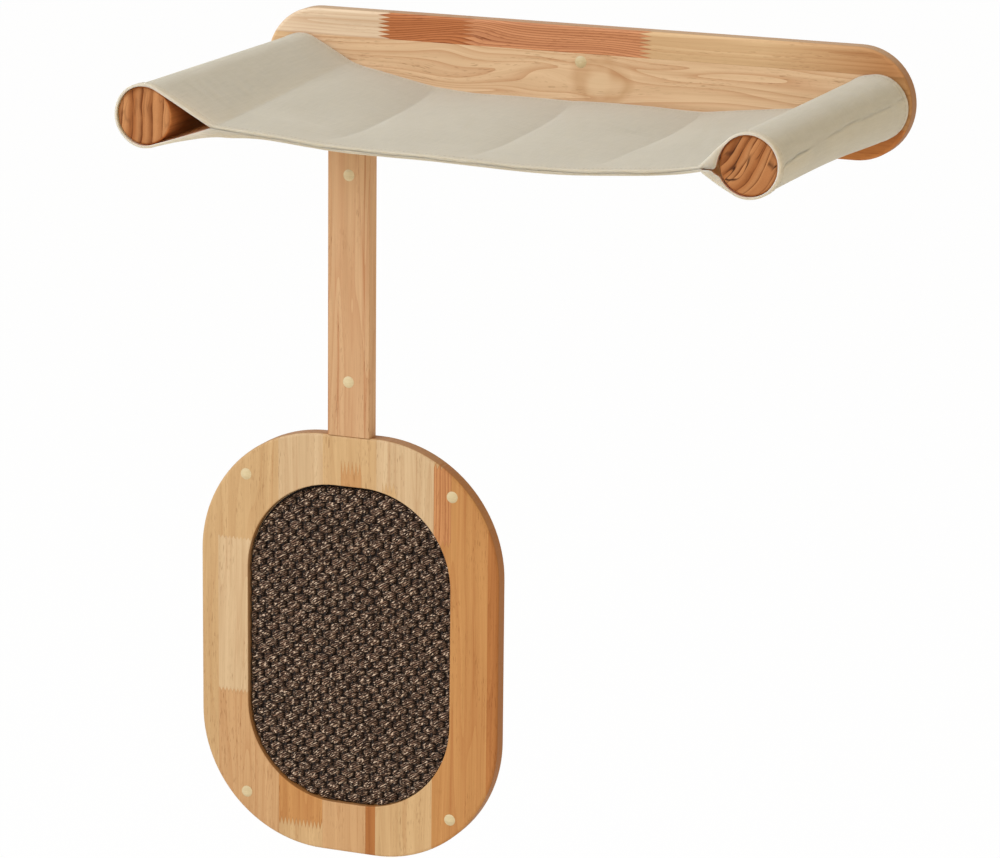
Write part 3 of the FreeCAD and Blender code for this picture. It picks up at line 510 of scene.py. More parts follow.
def board_material(name, staves, along_axis, across_axis, ground, streaks=0.35, pores=0.6, knots=(),
                   eyes=(), darker_end=None, tint=WHITE, edge=(150, 98, 52), top=None,
                   edge_share=0.8):
    """An edge-glued board. staves are rows of (start, end, low, high, tone, seed, finger length,
    lines) in millimetres, ground is the tone where none lies, knots are (along, across, width) and
    eyes are (along, across, half width, half height), both in millimetres. darker_end is where a
    stave slowly changes tone: (from, to, lowest, tone). tint is this board's own cast, edge the
    tone of its sides, darker partly as end grain that drinks more oil and partly as painted shade,
    and top, where given, a lighter tone for its upward sides: painted light from above."""
    tree = new_material(name, Specular_IOR_Level=WOOD_GLOSS)
    point = tree.split(tree.object_point())
    along, across = point[along_axis], point[across_axis]
    tones = [rgb(*tone) for tone in STAVE_TONES[ground]]
    seed, lines, joints = 0.0, PLAIN_LINES, 0.0
    for start, end, low, high, tone, stave_seed, fingers, ring_lines in staves:
        stave = tree.place("stave", Along=along, Across=across, Start=start * MM, End=end * MM,
                           Low=low * MM, High=high * MM, Finger_length=fingers * MM)
        tones = recolour(tree, stave["Mask"], tones, tone)
        seed = tree.math("MULTIPLY_ADD", stave["Mask"], float(stave_seed), seed)
        lines = tree.math("MULTIPLY_ADD", stave["Mask"], ring_lines - PLAIN_LINES, lines)
        if fingers >= 4:
            joints = tree.math("MAXIMUM", joints, stave["Glue line"])
    if darker_end:
        begins, ends, lowest, tone = darker_end
        above = tree.math("GREATER_THAN", across, lowest * MM)
        tones = recolour(tree, tree.span(along, begins * MM, ends * MM) * above, tones, tone)
    straight = tree.span(lines, 0.6, 0.8)
    grain = tree.place("wood grain", Along=along, Across=bowed_round_knots(tree, along, across, knots),
                       Deep=point[1], Seed=seed, Colour=tones[0], Streak_colour=tones[1],
                       Streaks=streaks, Pores=pores, Lines=lines, Straight=straight * 430.0,
                       Rings=tree.span(lines, 0.0, 0.5, 4.0, 14.0) - straight * 9.0)
    shown = tree.mix(joints * 0.35, grain["Colour"], rgb(*GLUE_TONE))
    shown = tree.tinted(with_eyes(tree, shown, along, across, eyes), tint)
    normal = tree.face_normal()
    # painted light and shade: the sides take the darker edge tone, partly end grain that drinks more oil
    # and partly painted shade, and upward sides take the lighter top tone, painted light from above
    side_grain_and_painted_light = tree.mix(tree.span(normal[2], 0.5, 0.9), rgb(*edge), rgb(*(top or edge)))
    side = tree.mix(edge_share, shown, side_grain_and_painted_light)
    shown = tree.mix(tree.span(abs(normal[1]), 0.25, 0.6), side, shown)
    return finish_material(tree, shown, grain["Height"], 0.0002, 0.5, grain["Roughness"])


ARM_X = 270.0
ARM_TONE, ARM_STREAK_TONE = (200, 128, 73), (150, 86, 44)
ARM_END = (-0.332, -0.330)


def arm_material(name, side, seed, **rings):
    """Round bar with the grain along Y, on the left (side -1) or right. Its front end shows the
    rings, which are given by the end grain group's own inputs."""
    tree = new_material(name, Specular_IOR_Level=WOOD_GLOSS)
    point = tree.split(tree.object_point())
    from_axis = point[0] - side * ARM_X * MM
    grain = tree.place("wood grain", Along=point[1], Across=from_axis, Deep=point[2], Seed=seed,
                       Colour=rgb(*ARM_TONE), Streak_colour=rgb(*ARM_STREAK_TONE), Streaks=0.5,
                       Pores=0.6)
    end = tree.place("end grain", Side=from_axis, Up=point[2], **rings)
    on_end = tree.span(tree.face_normal()[1], -0.93, -0.75, 1.0, 0.0)
    near_end = tree.span(point[1], *ARM_END, 1.0, 0.0)
    colour = tree.mix(on_end * near_end, grain["Colour"], end["Colour"])
    return finish_material(tree, colour, grain["Height"], 0.0003, 0.5, grain["Roughness"])


def plain_wood_material(name, tone, seed, along_axis, pores=0.4):
    """Small wooden pieces: pins and screw caps."""
    tree = new_material(name)
    point = tree.split(tree.object_point())
    across, deep = (point[axis] for axis in range(3) if axis != along_axis)
    grain = tree.place("wood grain", Along=point[along_axis], Across=across, Deep=deep, Seed=seed,
                       Colour=rgb(*tone), Streak_colour=darker(tone, 0.86), Streaks=0.2, Bands=0.12,
                       Pores=pores)
    return finish_material(tree, grain["Colour"], grain["Height"], 0.0001, 0.4, grain["Roughness"])


PLY_THICKNESS = 0.0017


def plywood_material():
    """The backing board: plain veneer on its faces, plies on its edges."""
    tree = new_material("plywood")
    point = tree.split(tree.object_point())
    grain = tree.place("wood grain", Along=point[2], Across=point[0], Deep=0.0, Seed=61.0,
                       Colour=rgb(214, 184, 142), Streak_colour=rgb(184, 146, 102), Streaks=0.4,
                       Pores=0.3)
    ply = tree.span(tree.math("FRACT", point[1] / PLY_THICKNESS), 0.45, 0.55)
    edge = tree.span(abs(tree.face_normal()[1]), 0.3, 0.6, 1.0, 0.0)
    colour = tree.mix(ply * edge * 0.5, grain["Colour"], rgb(150, 108, 70))
    return finish_material(tree, colour, grain["Height"], 0.0002, 0.5, grain["Roughness"])


def metal_material(name, tone, roughness):
    """Plated steel with fine turning marks and a little dulling."""
    tree = new_material(name, Metallic=1.0)
    point = tree.object_point()
    x, y, z = tree.split(point)
    marks = tree.noise(tree.vector(x * 400.0, y * 6000.0, z * 400.0), 1.0, 2.0)
    dull = tree.noise(point, 160.0, 3.0)
    colour = tree.mix(tree.span(dull, 0.4, 0.7), rgb(*tone), darker(tone, 0.78))
    return finish_material(tree, colour, marks, 0.00005, 0.4,
                           tree.span(dull, 0.3, 0.7, roughness, roughness + 0.15))


def dress_wood_and_metal():
    """Finishes for the CAD nodes that are shown as they are."""
    make_grain_group()
    make_stave_group()
    make_end_grain_group()
    # the plate's lighter top tone is painted light from above
    dress(board_material("plate_wood", PLATE_STAVES, 0, 2, "straw", knots=PLATE_KNOTS,
                         eyes=PLATE_EYES, darker_end=PLATE_DARKER_END, edge=(150, 103, 60),
                         top=(172, 138, 104)), "back_plate")
    dress(board_material("frame_wood", FRAME_STAVES, 2, 0, "tan", streaks=0.4,
                         tint=(0.90, 0.93, 0.96, 1.0)), "scratch_frame")
    dress(board_material("post_wood", POST_STAVES, 2, 0, "pink", streaks=0.95,
                         edge=(206, 160, 116), edge_share=0.3), "post")
    # near-upright rings on the left arm, slanting ones with dark cracks on the right arm
    dress(arm_material("left_arm_wood", -1, 41.0, Turn=math.radians(3.0), Curve=1.2,
                       Ring_pitch=0.0096, Cracks=0.25, Seed=1.0), "left_arm")
    dress(arm_material("right_arm_wood", 1, 47.0, Turn=math.radians(33.0), Curve=6.0,
                       Ring_pitch=0.0078, Cracks=1.0, Seed=5.0), "right_arm")
    dress(plain_wood_material("button_wood", (208, 186, 142), 71.0, 0, 0.15),
          "plate_screw_caps", "post_screw_caps", "frame_screw_caps")
    dress(plain_wood_material("pin_wood", (214, 180, 136), 73.0, 2),
          "plate_joint_pins", "frame_joint_pins")
    dress(plywood_material(), "backing_board")
    dress(metal_material("plated_steel", (206, 208, 210), 0.28),
          "arm_bolts", "arm_washers", "backing_screws")
    dress(metal_material("plated_insert", (212, 198, 150), 0.32), "arm_inserts")

# ---------------------------------------------------------------------------------------------
# Mesh helpers
# ---------------------------------------------------------------------------------------------

def add_piece(name, points, faces, body, material, smooth=True):
    """A new mesh piece that rides on a body and takes the given material."""
    mesh = bpy.data.meshes.new(name)
    mesh.from_pydata([tuple(point) for point in points], [], faces)
    mesh.validate()
    mesh.polygons.foreach_set("use_smooth", [smooth] * len(mesh.polygons))
    piece = bpy.data.objects.new(name, mesh)
    bpy.context.collection.objects.link(piece)
    piece.data.materials.append(material)
    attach(piece, body)
    return piece


def grid_faces(rows, columns, start=0, wrap=False):
    """Quads between the points of a grid that is stored row by row."""
    faces = []
    for row in range(rows - 1):
        for column in range(columns - 1 + wrap):
            beside = (column + 1) % columns
            first = start + row * columns
            faces.append((first + column, first + beside, first + columns + beside,
                          first + columns + column))
    return faces


def smooth_step(value, low, high):
    """0 at low and 1 at high, with a soft start and end. low may be the greater."""
    share = np.clip((np.asarray(value, float) - low) / (high - low), 0.0, 1.0)
    return share * share * (3.0 - 2.0 * share)


def soft_bump(value, width):
    """1 where value is 0, falling away softly on both sides."""
    return np.exp(-(np.asarray(value, float) / width) ** 2)


# ---------------------------------------------------------------------------------------------
# Canvas sling. Lengths in this section are millimetres until the mesh is made.
# ---------------------------------------------------------------------------------------------

SLEEVE_RADIUS = 25.3
SLING_BACK = -17.0
SLING_FRONT = -337.0
PLY = 1.0
BACK_HEM_THICK = 1.5
FRONT_HEM_THICK = 2.3
HEM_WIDTH = 11.0
HEM_STITCH = 8.5
PLY_GAP = 0.12
UPPER_LIP = 8.5
LOWER_LIP = 4.6
BULK = 4.2  # folded allowance under the front hem's left corner, and how far it reaches
BULK_REACH = 30.0
CORNER_REACH = 9.0  # how far the cloth is rounded beside a sleeve's inner corner
CORNER_ROUNDS = 24
DECK_STEPS = 220
LINE_STEPS = 16
ARC_STEPS = 90
# the loop's column where the lower ply meets the left sleeve
LEFT_UNDER_CORNER = 2 * DECK_STEPS + 2 * LINE_STEPS + ARC_STEPS

# where the deck's middle surface lies along the back and the front hem: (x, z)
BACK_LINE = [(-223, 3.0), (-208, -1.5), (-193, -4.3), (-166, -9.6), (-139, -14.0), (-105, -17.6),
             (-56, -17.6), (3, -17.2), (67, -17.4), (114, -18.0), (160, -13.8), (197, -9.8), (222, -7.0)]
FRONT_LINE = [(-207, -5.6), (-190, -7.2), (-167, -8.6), (-145, -10.2), (-123, -12.1), (-101, -13.8),
              (-49, -15.4), (-13, -15.6), (30, -16.6), (73, -17.8), (94, -17.9), (122, -17.2),
              (136, -16.3), (164, -14.1), (184, -12.5), (198, -10.9), (212, -8.9), (230, -5.4)]

# sharp valleys in the deck: x at five stations from the back to the front, and their depth there
VALLEY_STATIONS = (0.0, 0.2, 0.45, 0.72, 1.0)
VALLEYS = [
    ((-138, -130, -121, -113, -112), (3.6, 6.4, 7.2, 6.0, 1.2)),
    ((-7, 3, 11, 16, 14), (3.4, 6.0, 7.0, 6.0, 1.2)),
    ((117, 121, 124, 126, 130), (3.2, 6.2, 6.8, 4.2, 0.5)),
]

# soft dents and swellings of the deck: (x, y, along x, along y, height)
SWELLINGS = [
    (-170, -215, 26, 40, -2.0), (-158, -285, 34, 26, 1.4), (-172, -90, 30, 50, 1.2),
    (-60, -250, 44, 36, 1.2), (-56, -120, 40, 60, 1.6), (-84, -170, 26, 34, -1.2),
    (66, -250, 40, 40, 1.3), (60, -110, 34, 44, 1.4), (92, -150, 22, 26, -1.4),
    (170, -220, 30, 60, 1.2), (176, -100, 26, 50, -1.1), (34, -296, 30, 16, -1.2),
    (-18, -262, 22, 20, -1.2), (-150, -250, 16, 16, -1.0), (150, -262, 22, 30, -1.0),
]

# ripples: (x, y, direction of the waves in degrees from X, wavelength, reach along, across, height)
RIPPLES = [
    (-226, -262, 76, 17, 26, 22, 0.36), (-222, -228, 66, 19, 30, 20, 0.30),
    (-150, -262, 60, 19, 26, 24, 0.16), (-96, -60, 30, 22, 24, 20, 0.18),
    (86, -128, 78, 18, 16, 34, 0.34), (60, -190, 40, 24, 34, 30, 0.16),
    (150, -300, 35, 20, 26, 18, 0.20), (196, -300, 20, 15, 20, 22, 0.30),
    (-20, -300, 55, 24, 30, 16, 0.16), (186, -180, 15, 21, 22, 60, 0.20),
]

# the same for the sleeves' outer faces, whose x distances count for more
SLEEVE_STRETCH = 1.4
SLEEVE_RIPPLE_LOWEST = -12
SLEEVE_RIPPLES = [
    (-240, -268, 76, 17, 34, 24, 0.36), (-232, -222, 66, 19, 30, 22, 0.30),
    (-246, -150, 86, 23, 36, 24, 0.20), (-240, -70, 62, 21, 26, 24, 0.20),
    (262, -250, 96, 26, 60, 22, 0.16), (280, -120, 84, 24, 60, 20, 0.18),
    (236, -300, 60, 12, 18, 14, 0.30),
]

# small puckers along the front hem
PUCKERS = (-160, -91, -72, -37, 12, 68, 91, 124, 156, 188)

# the lapped seam on the right sleeve: the turn near which its edge runs
LAP_TURN = 0.22


def through(stations, values, place):
    """A smooth curve through values at stations (Catmull-Rom), for an array of places."""
    stations, values = np.asarray(stations, float), np.asarray(values, float)
    place = np.clip(np.asarray(place, float), stations[0], stations[-1])
    slopes = np.gradient(values, stations)
    index = np.clip(np.searchsorted(stations, place) - 1, 0, len(stations) - 2)
    width = stations[index + 1] - stations[index]
    t = (place - stations[index]) / width
    a, b = values[index], values[index + 1]
    ma, mb = slopes[index] * width, slopes[index + 1] * width
    return ((2 * t**3 - 3 * t**2 + 1) * a + (t**3 - 2 * t**2 + t) * ma
            + (3 * t**2 - 2 * t**3) * b + (t**3 - t**2) * mb)


def waves(x, y, ripples, stretch=1.0):
    """The height of some ripples, with their x distances stretched."""
    lift = np.zeros_like(x)
    for centre_x, centre_y, turn, wave, along, across, height in ripples:
        way = math.radians(turn)
        dx, dy = (x - centre_x) * stretch, y - centre_y
        u = dx * math.cos(way) + dy * math.sin(way)
        v = dy * math.cos(way) - dx * math.sin(way)
        lift += height * np.cos(2 * math.pi * u / wave) * np.exp(-(u / along) ** 2 - (v / across) ** 2)
    return lift


def deck_relief(x, y, front_share):
    """How far creases, dents and ripples move the deck's upper face."""
    lift = np.zeros_like(x)
    for line, depths in VALLEYS:
        valley_x = through(VALLEY_STATIONS, line, front_share)
        depth = through(VALLEY_STATIONS, depths, front_share)
        off = x - valley_x
        # steeper and shorter on the right flank than on the left
        flank = np.where(off < 0, np.exp(off / 26.0), np.exp(-off / 17.0))
        lift -= depth * flank
    for centre_x, centre_y, wide, deep, height in SWELLINGS:
        lift += height * np.exp(-((x - centre_x) / wide) ** 2 - ((y - centre_y) / deep) ** 2)
    lift += waves(x, y, RIPPLES)
    return lift - np.mean(lift)


def sling_loop(y):
    """The sling's inner line at one depth, as points (x, z) once round: the upper ply from left
    to right, the right sleeve, the lower ply back, and the left sleeve."""
    front = (SLING_BACK - y) / (SLING_BACK - SLING_FRONT)
    swing = front * front * (3 - 2 * front)
    left_x = BACK_LINE[0][0] + (FRONT_LINE[0][0] - BACK_LINE[0][0]) * front
    right_x = BACK_LINE[-1][0] + (FRONT_LINE[-1][0] - BACK_LINE[-1][0]) * front
    share = np.linspace(0.0, 1.0, DECK_STEPS + 1)
    x = left_x + (right_x - left_x) * share

    def level(line):
        places = [(point[0] - line[0][0]) / (line[-1][0] - line[0][0]) for point in line]
        return through(places, [point[1] for point in line], share)

    z = level(BACK_LINE) * (1 - swing) + level(FRONT_LINE) * swing
    fade = smooth_step(share, 0.0, 0.05) * smooth_step(share, 1.0, 0.95)
    at_front = smooth_step(SLING_FRONT + 34 - y, -34, 34)
    at_back = smooth_step(y - SLING_BACK + 16, -16, 16)
    calm = (1 - 0.85 * at_front) * (1 - 0.70 * at_back)
    relief = deck_relief(x, np.full_like(x, y), front) * fade
    upper = z + PLY_GAP / 2 + relief * calm
    pucker = sum(soft_bump(x - place, 1.8) for place in PUCKERS)
    upper = upper + 0.35 * pucker * soft_bump(y - SLING_FRONT - 6, 7.0)
    lower = z - PLY_GAP / 2 + np.minimum(relief, 0.0) * calm * 0.9 + np.maximum(relief, 0) * calm * 0.25
    lower = np.minimum(lower, upper - PLY_GAP)

    def sleeve(tip_x, tip_upper, tip_lower, side):
        """From the upper tip over the arm to the lower tip, x mirrored for the left side."""
        middle = (tip_upper + tip_lower) / 2
        reach = math.hypot(ARM_X - abs(tip_x), middle)
        lean = math.atan2(middle, -(ARM_X - abs(tip_x)))
        touch = math.acos(SLEEVE_RADIUS / reach)
        high, low = lean - touch, lean + touch - 2 * math.pi
        turns = close_near_lap(high, low)
        arc_x = ARM_X + SLEEVE_RADIUS * np.cos(turns)
        arc_z = SLEEVE_RADIUS * np.sin(turns)
        steps = np.linspace(0.0, 1.0, LINE_STEPS + 1)[1:-1]
        slack = np.sin(math.pi * steps)
        puff = 0.6 if side > 0 else 0.2
        up_x = abs(tip_x) + (arc_x[0] - abs(tip_x)) * steps - puff * slack * 0.6
        up_z = tip_upper + (arc_z[0] - tip_upper) * steps + puff * slack
        low_x = arc_x[-1] + (abs(tip_x) - arc_x[-1]) * steps - puff * slack * 0.6
        low_z = arc_z[-1] + (tip_lower - arc_z[-1]) * steps - puff * slack
        return (np.concatenate([up_x, arc_x, low_x]) * side, np.concatenate([up_z, arc_z, low_z]))

    right = sleeve(right_x, upper[-1], lower[-1], 1)
    left = sleeve(left_x, upper[0], lower[0], -1)
    loop_x = np.concatenate([x, right[0], x[::-1], left[0][::-1]])
    loop_z = np.concatenate([upper, right[1], lower[::-1], left[1][::-1]])
    return np.stack([loop_x, loop_z], axis=1)


def close_near_lap(high, low):
    """Turns from high down to low, closest together where the lap's edge runs."""
    even = np.linspace(high, low, 400)
    crowd = np.cumsum(1 + 6 * soft_bump(even - LAP_TURN, 0.24))
    return np.interp(np.linspace(crowd[0], crowd[-1], ARC_STEPS + 1), crowd, even)


def flare(loop, y):
    """The right sleeve opens a little wider towards the plate."""
    x, z = loop[:, 0] - ARM_X, loop[:, 1]
    away = np.maximum(np.hypot(x, z), 1e-6)
    round_it = np.maximum(2.0 + 5.5 * np.cos(np.arctan2(z, x) + 0.3), 0.0)
    widen = float(soft_bump(y - SLING_BACK, 105.0)) * round_it * smooth_step(x, -12, 6)
    return loop + np.column_stack([x / away, z / away]) * widen[:, None]


def sleeve_ripple(loop, y):
    """Small ripples on the sleeves' outside, across the pull of the cloth."""
    return waves(loop[:, 0], y, SLEEVE_RIPPLES, SLEEVE_STRETCH) * (loop[:, 1] > SLEEVE_RIPPLE_LOWEST)


def hem_stations():
    """Depths of the mesh rows, close together at the hems."""
    near = [0.0, 0.35, 0.9, 1.8, 3.2, 5.0, 6.8, 7.7, 8.2, 8.5, 8.8, 9.3, 10.2, 11.0, 11.8, 12.8,
            14.5, 17.0]
    length = SLING_BACK - SLING_FRONT
    middle = np.linspace(21.0, length - 21.0, 64)
    along = near + list(middle) + [length - place for place in reversed(near)]
    return [SLING_BACK - place for place in along]


def canvas_thickness(y):
    """One ply's thickness there: doubled over at the hems, pinched by their stitches, and round
    at the very edge."""
    from_end = min(SLING_BACK - y, y - SLING_FRONT)
    hem = BACK_HEM_THICK if SLING_BACK - y < y - SLING_FRONT else FRONT_HEM_THICK
    thick = hem + (PLY - hem) * float(smooth_step(from_end, HEM_WIDTH - 3.0, HEM_WIDTH + 4.0))
    thick -= 0.15 * float(soft_bump(from_end - HEM_STITCH, 0.8))
    rounding = math.sqrt(max(0.0, 1 - (1 - min(from_end, 1.1) / 1.1) ** 2))
    return thick * (0.25 + 0.75 * rounding)


def outward(loop):
    """Unit vectors square to a closed line that runs clockwise as seen from the front."""
    tangent = np.roll(loop, -1, axis=0) - np.roll(loop, 1, axis=0)
    for _ in range(2):
        tangent = (tangent + 0.5 * np.roll(tangent, 1, axis=0) + 0.5 * np.roll(tangent, -1, axis=0)) / 2
    normal = np.stack([-tangent[:, 1], tangent[:, 0]], axis=1)
    return normal / np.maximum(np.linalg.norm(normal, axis=1), 1e-9)[:, None]


# the lapped seam's free edge on the right sleeve: (y, z, how far it stands open)
LAP_EDGE = [(-337, -2.4, 0.2), (-325, -1.0, 0.7), (-318, 0.9, 0.9), (-306, 0.7, 1.0), (-290, 2.6, 0.9),
            (-275, 2.4, 0.9), (-262, 3.2, 0.6), (-252, 3.4, 0.0), (-222, 4.2, 0.0), (-212, 4.6, 0.45),
            (-187, 5.4, 0.5), (-155, 6.9, 0.6), (-133, 6.8, 0.2), (-118, 5.8, 0.6), (-88, 6.4, 0.3),
            (-60, 6.6, 0.55), (-54, 6.6, 0.0), (-44, 8.4, 0.0), (-36, 8.6, 0.6), (-24, 8.6, 0.4),
            (-17, 8.6, 0.1)]


def lap_step(loop, y):
    """The loop's ends overlap in a lapped seam on the right sleeve's outer side: a low step with a
    thin crease above it, both clear only where the edge stands open."""
    x, z = loop[:, 0], loop[:, 1]
    stations = [point[0] for point in LAP_EDGE]
    edge = float(np.interp(y, stations, [point[1] for point in LAP_EDGE]))
    open_here = float(np.interp(y, stations, [point[2] for point in LAP_EDGE]))
    step = 0.7 * smooth_step(z, edge + 0.5, edge - 0.4) * smooth_step(z, edge - 26, edge - 4)
    crease = 1.15 * soft_bump(z - edge - 0.6, 0.72)
    return np.where(x > ARM_X + 12, (step - crease) * open_here, 0.0)


def front_lips(loop, y):
    """How far the hem's fold leans into the right sleeve's mouth between its tip and the arm."""
    lean = np.zeros(len(loop))
    share = np.linspace(0.0, 1.0, LINE_STEPS + 1)[1:-1]
    wobble = 1 + 0.10 * np.sin(11 * share + 0.6)
    profile = smooth_step(share, 0.0, 0.28) * smooth_step(share, 1.02, 0.55) * wobble
    first = DECK_STEPS + 1
    last = first + 2 * len(share) + ARC_STEPS + 1
    lean[first:first + len(share)] = UPPER_LIP * profile
    lean[last - len(share):last] = LOWER_LIP * profile[::-1]
    room = np.hypot(loop[:, 0] - ARM_X, loop[:, 1]) - SLEEVE_RADIUS - 0.1
    at_mouth = float(smooth_step(y, SLING_FRONT + 10, SLING_FRONT + 1.5))
    return np.minimum(lean * at_mouth, np.maximum(room, 0.0))


def cloth_section(y):
    """The sling cut at one depth: its inner and outer lines and the outward ways."""
    loop = flare(sling_loop(y), y)
    normal = outward(loop)
    thick = canvas_thickness(y) + sleeve_ripple(loop, y) + lap_step(loop, y)
    thick = thick + corner_bulk(loop, normal, y)
    face = loop + normal * thick[:, None]
    # the cloth turns round the sleeve's inner corner instead of folding sharply
    for corner, above in ((0, True), (DECK_STEPS, True), (LEFT_UNDER_CORNER, False)):
        near = soft_bump(np.hypot(loop[:, 0] - loop[corner, 0], loop[:, 1] - loop[corner, 1]),
                         CORNER_REACH)
        this_side = loop[:, 1] > loop[corner, 1] - 0.1 if above else normal[:, 1] < 0
        for _ in range(CORNER_ROUNDS):
            middle = (np.roll(face, 1, axis=0) + np.roll(face, -1, axis=0)) / 2
            face = face + (middle - face) * (near * this_side)[:, None]
    return loop - normal * front_lips(loop, y)[:, None], face, normal


def corner_bulk(loop, normal, y):
    """Folded allowance under the front hem, where the left sleeve's seam meets it."""
    near_tip = soft_bump(loop[:, 0] - FRONT_LINE[0][0] - 2, BULK_REACH) * (normal[:, 1] < 0)
    return BULK * near_tip * float(smooth_step(y, SLING_FRONT + 26, SLING_FRONT + 9))


def edge_wobble(columns, y):
    """The hems' edges aren't quite straight."""
    turn = np.arange(columns) / columns * 2 * math.pi
    drift = 0.35 * np.sin(9 * turn + 1.0) + 0.25 * np.sin(23 * turn) + 0.12 * np.sin(61 * turn + 2.0)
    return drift * float(smooth_step(y, SLING_FRONT + 16, SLING_FRONT))


def make_canvas_sling(material):
    """The whole sling in one mesh: its outer and inner faces, closed at the two hems."""
    rows = hem_stations()
    inner, outer = [], []
    for y in rows:
        line, face, _ = cloth_section(y)
        depth = y + edge_wobble(len(line), y)
        inner.append(np.column_stack([line[:, 0], depth, line[:, 1]]))
        outer.append(np.column_stack([face[:, 0], depth, face[:, 1]]))
    around = len(inner[0])
    count = len(rows) * around
    points = np.concatenate(outer + inner) * MM
    faces = grid_faces(len(rows), around, 0, wrap=True)
    faces += [tuple(reversed(face)) for face in grid_faces(len(rows), around, count, wrap=True)]
    for row, turned in ((0, False), (len(rows) - 1, True)):
        for column in range(around):
            beside = (column + 1) % around
            a = row * around + column
            b = row * around + beside
            rim = (a, a + count, b + count, b)
            faces.append(tuple(reversed(rim)) if turned else rim)
    sling = add_piece("sling_cloth", points, faces, "sling", material)
    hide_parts("canvas_sling")
    return sling


CANVAS_TONE = (188, 176, 155)
THREAD_WIDTH = 0.0007
# how much paler the painted highlight makes the sleeves' front hem faces
HEM_PAINTED_HIGHLIGHT = (1.08, 1.12, 1.20, 1.0)
# the brown of light bounced off the arms, painted on the sleeves' inside
PAINTED_BOUNCE_TONE = (166, 98, 46)


def make_canvas_group():
    """Plain woven canvas: two crossed thread ripples, slubs, and faint cloudy unevenness."""
    tree, given, out = new_group("canvas weave", ("Colour", "Height", "Roughness"), Point=None,
                                 Colour=(0.6, 0.54, 0.43, 1.0), Thread=THREAD_WIDTH)
    x, y, z = tree.split(given["Point"])
    turns = 2 * math.pi / given["Thread"]
    side = x + z * 0.85
    wobble = tree.noise(given["Point"], 900.0, 1.0) * 1.6
    warp = tree.math("SINE", side * turns + wobble)
    weft = tree.math("SINE", y * turns + wobble)
    weave = warp * weft * 0.5 + 0.5
    slub = (tree.noise(tree.vector(side * 900.0, y * 40.0, z * 300.0), 1.0, 2.0)
            + tree.noise(tree.vector(side * 40.0, y * 900.0, z * 40.0), 1.0, 2.0))
    cloud = tree.noise(given["Point"], 26.0, 3.0)
    shade = 1.0 + (slub - 1.0) * 0.15 + (weave - 0.5) * 0.05 + (cloud - 0.5) * 0.06
    tint = tree.vector(shade, shade ** 1.05, shade ** 1.18)
    tree.feed(out, Colour=tree.tinted(given["Colour"], tint), Height=weave * 0.6 + slub * 0.35,
              Roughness=0.80 + slub * 0.06)


def canvas_material():
    """The sling's cloth. A little light comes through it and softens the dark inside the sleeves, and
    warm light bounced off the arms is painted brown on its inside at the sleeves' mouths.
    """
    make_canvas_group()
    tree = new_material("canvas_cloth", Sheen_Weight=0.15, Sheen_Roughness=0.5,
                        Specular_IOR_Level=0.1, Subsurface_Weight=0.8,
                        Subsurface_Radius=(1.0, 0.9, 0.75), Subsurface_Scale=0.009)
    weave = tree.place("canvas weave", Point=tree.object_point(), Colour=rgb(*CANVAS_TONE))
    normal = tree.face_normal()
    x, _, z = tree.split(tree.object_point())
    from_middle = abs(x)
    # painted highlight: the sleeves' hem faces that look to the front are made paler, where the cut edge
    # catches the light
    painted_hem_highlight = tree.span(normal[1], -0.35, -0.8) * tree.span(from_middle, 0.195, 0.235)
    colour = tree.mix(painted_hem_highlight, weave["Colour"], tree.tinted(weave["Colour"], HEM_PAINTED_HIGHLIGHT))
    # where a sleeve opens from the deck, warm light bounced off the arm is painted on the cloth's inside
    # as a brown tone
    outward = normal[0] * tree.math("SIGN", x) * (from_middle - ARM_X * MM) + normal[2] * z
    near_tip = tree.span(from_middle, 0.205, 0.215) * tree.span(from_middle, 0.290, 0.265)
    inside = tree.span(outward, -0.006, -0.014) * near_tip
    colour = tree.mix(inside * 0.85, colour, rgb(*PAINTED_BOUNCE_TONE))
    return finish_material(tree, colour, weave["Height"], 0.0002, 0.5, weave["Roughness"])


def thread_material(name, tone):
    """Sewing thread: a fine twist along its stitches."""
    tree = new_material(name, Roughness=0.7)
    x, y, z = tree.split(tree.object_point())
    twist = tree.math("SINE", (x + y + z) * 9000.0) * 0.5 + 0.5
    return finish_material(tree, tree.mix(twist, rgb(*tone), darker(tone, 0.82)), twist, 0.0001, 0.5)


STITCH_SIDES = 6
# a stitch's rings: (share of its length, share of its radius)
STITCH_RINGS = ((0.0, 0.35), (0.12, 0.85), (0.5, 1.0), (0.88, 0.85), (1.0, 0.35))


def stitch_row(path, outward_way, length=3.2, gap=0.9, radius=0.22):
    """Stitches along a path of points in millimetres: short round-ended threads half sunk in the
    cloth. outward_way holds the cloth's outward direction at each point."""
    path, outward_way = np.asarray(path, float), np.asarray(outward_way, float)
    steps = np.linalg.norm(np.diff(path, axis=0), axis=1)
    travelled = np.concatenate([[0.0], np.cumsum(steps)])

    def at(place, values):
        return np.array([np.interp(place, travelled, values[:, axis]) for axis in range(3)])

    points, faces = [], []
    start = gap
    while start + length < travelled[-1]:
        base = len(points)
        for share, size in STITCH_RINGS:
            place = start + share * length
            spot = at(place, path)
            up = at(place, outward_way)
            up /= np.linalg.norm(up)
            along = at(place + 0.4, path) - spot
            along /= max(np.linalg.norm(along), 1e-9)
            side = np.cross(along, up)
            middle = spot + up * radius * (0.55 * math.sin(math.pi * share) - 0.15)
            for k in range(STITCH_SIDES):
                turn = 2 * math.pi * k / STITCH_SIDES
                points.append(middle + radius * size * (math.cos(turn) * side + math.sin(turn) * up))
        faces += grid_faces(len(STITCH_RINGS), STITCH_SIDES, base, wrap=True)
        faces.append(tuple(base + k for k in reversed(range(STITCH_SIDES))))
        faces.append(tuple(range(len(points) - STITCH_SIDES, len(points))))
        start += length + gap
    return points, faces


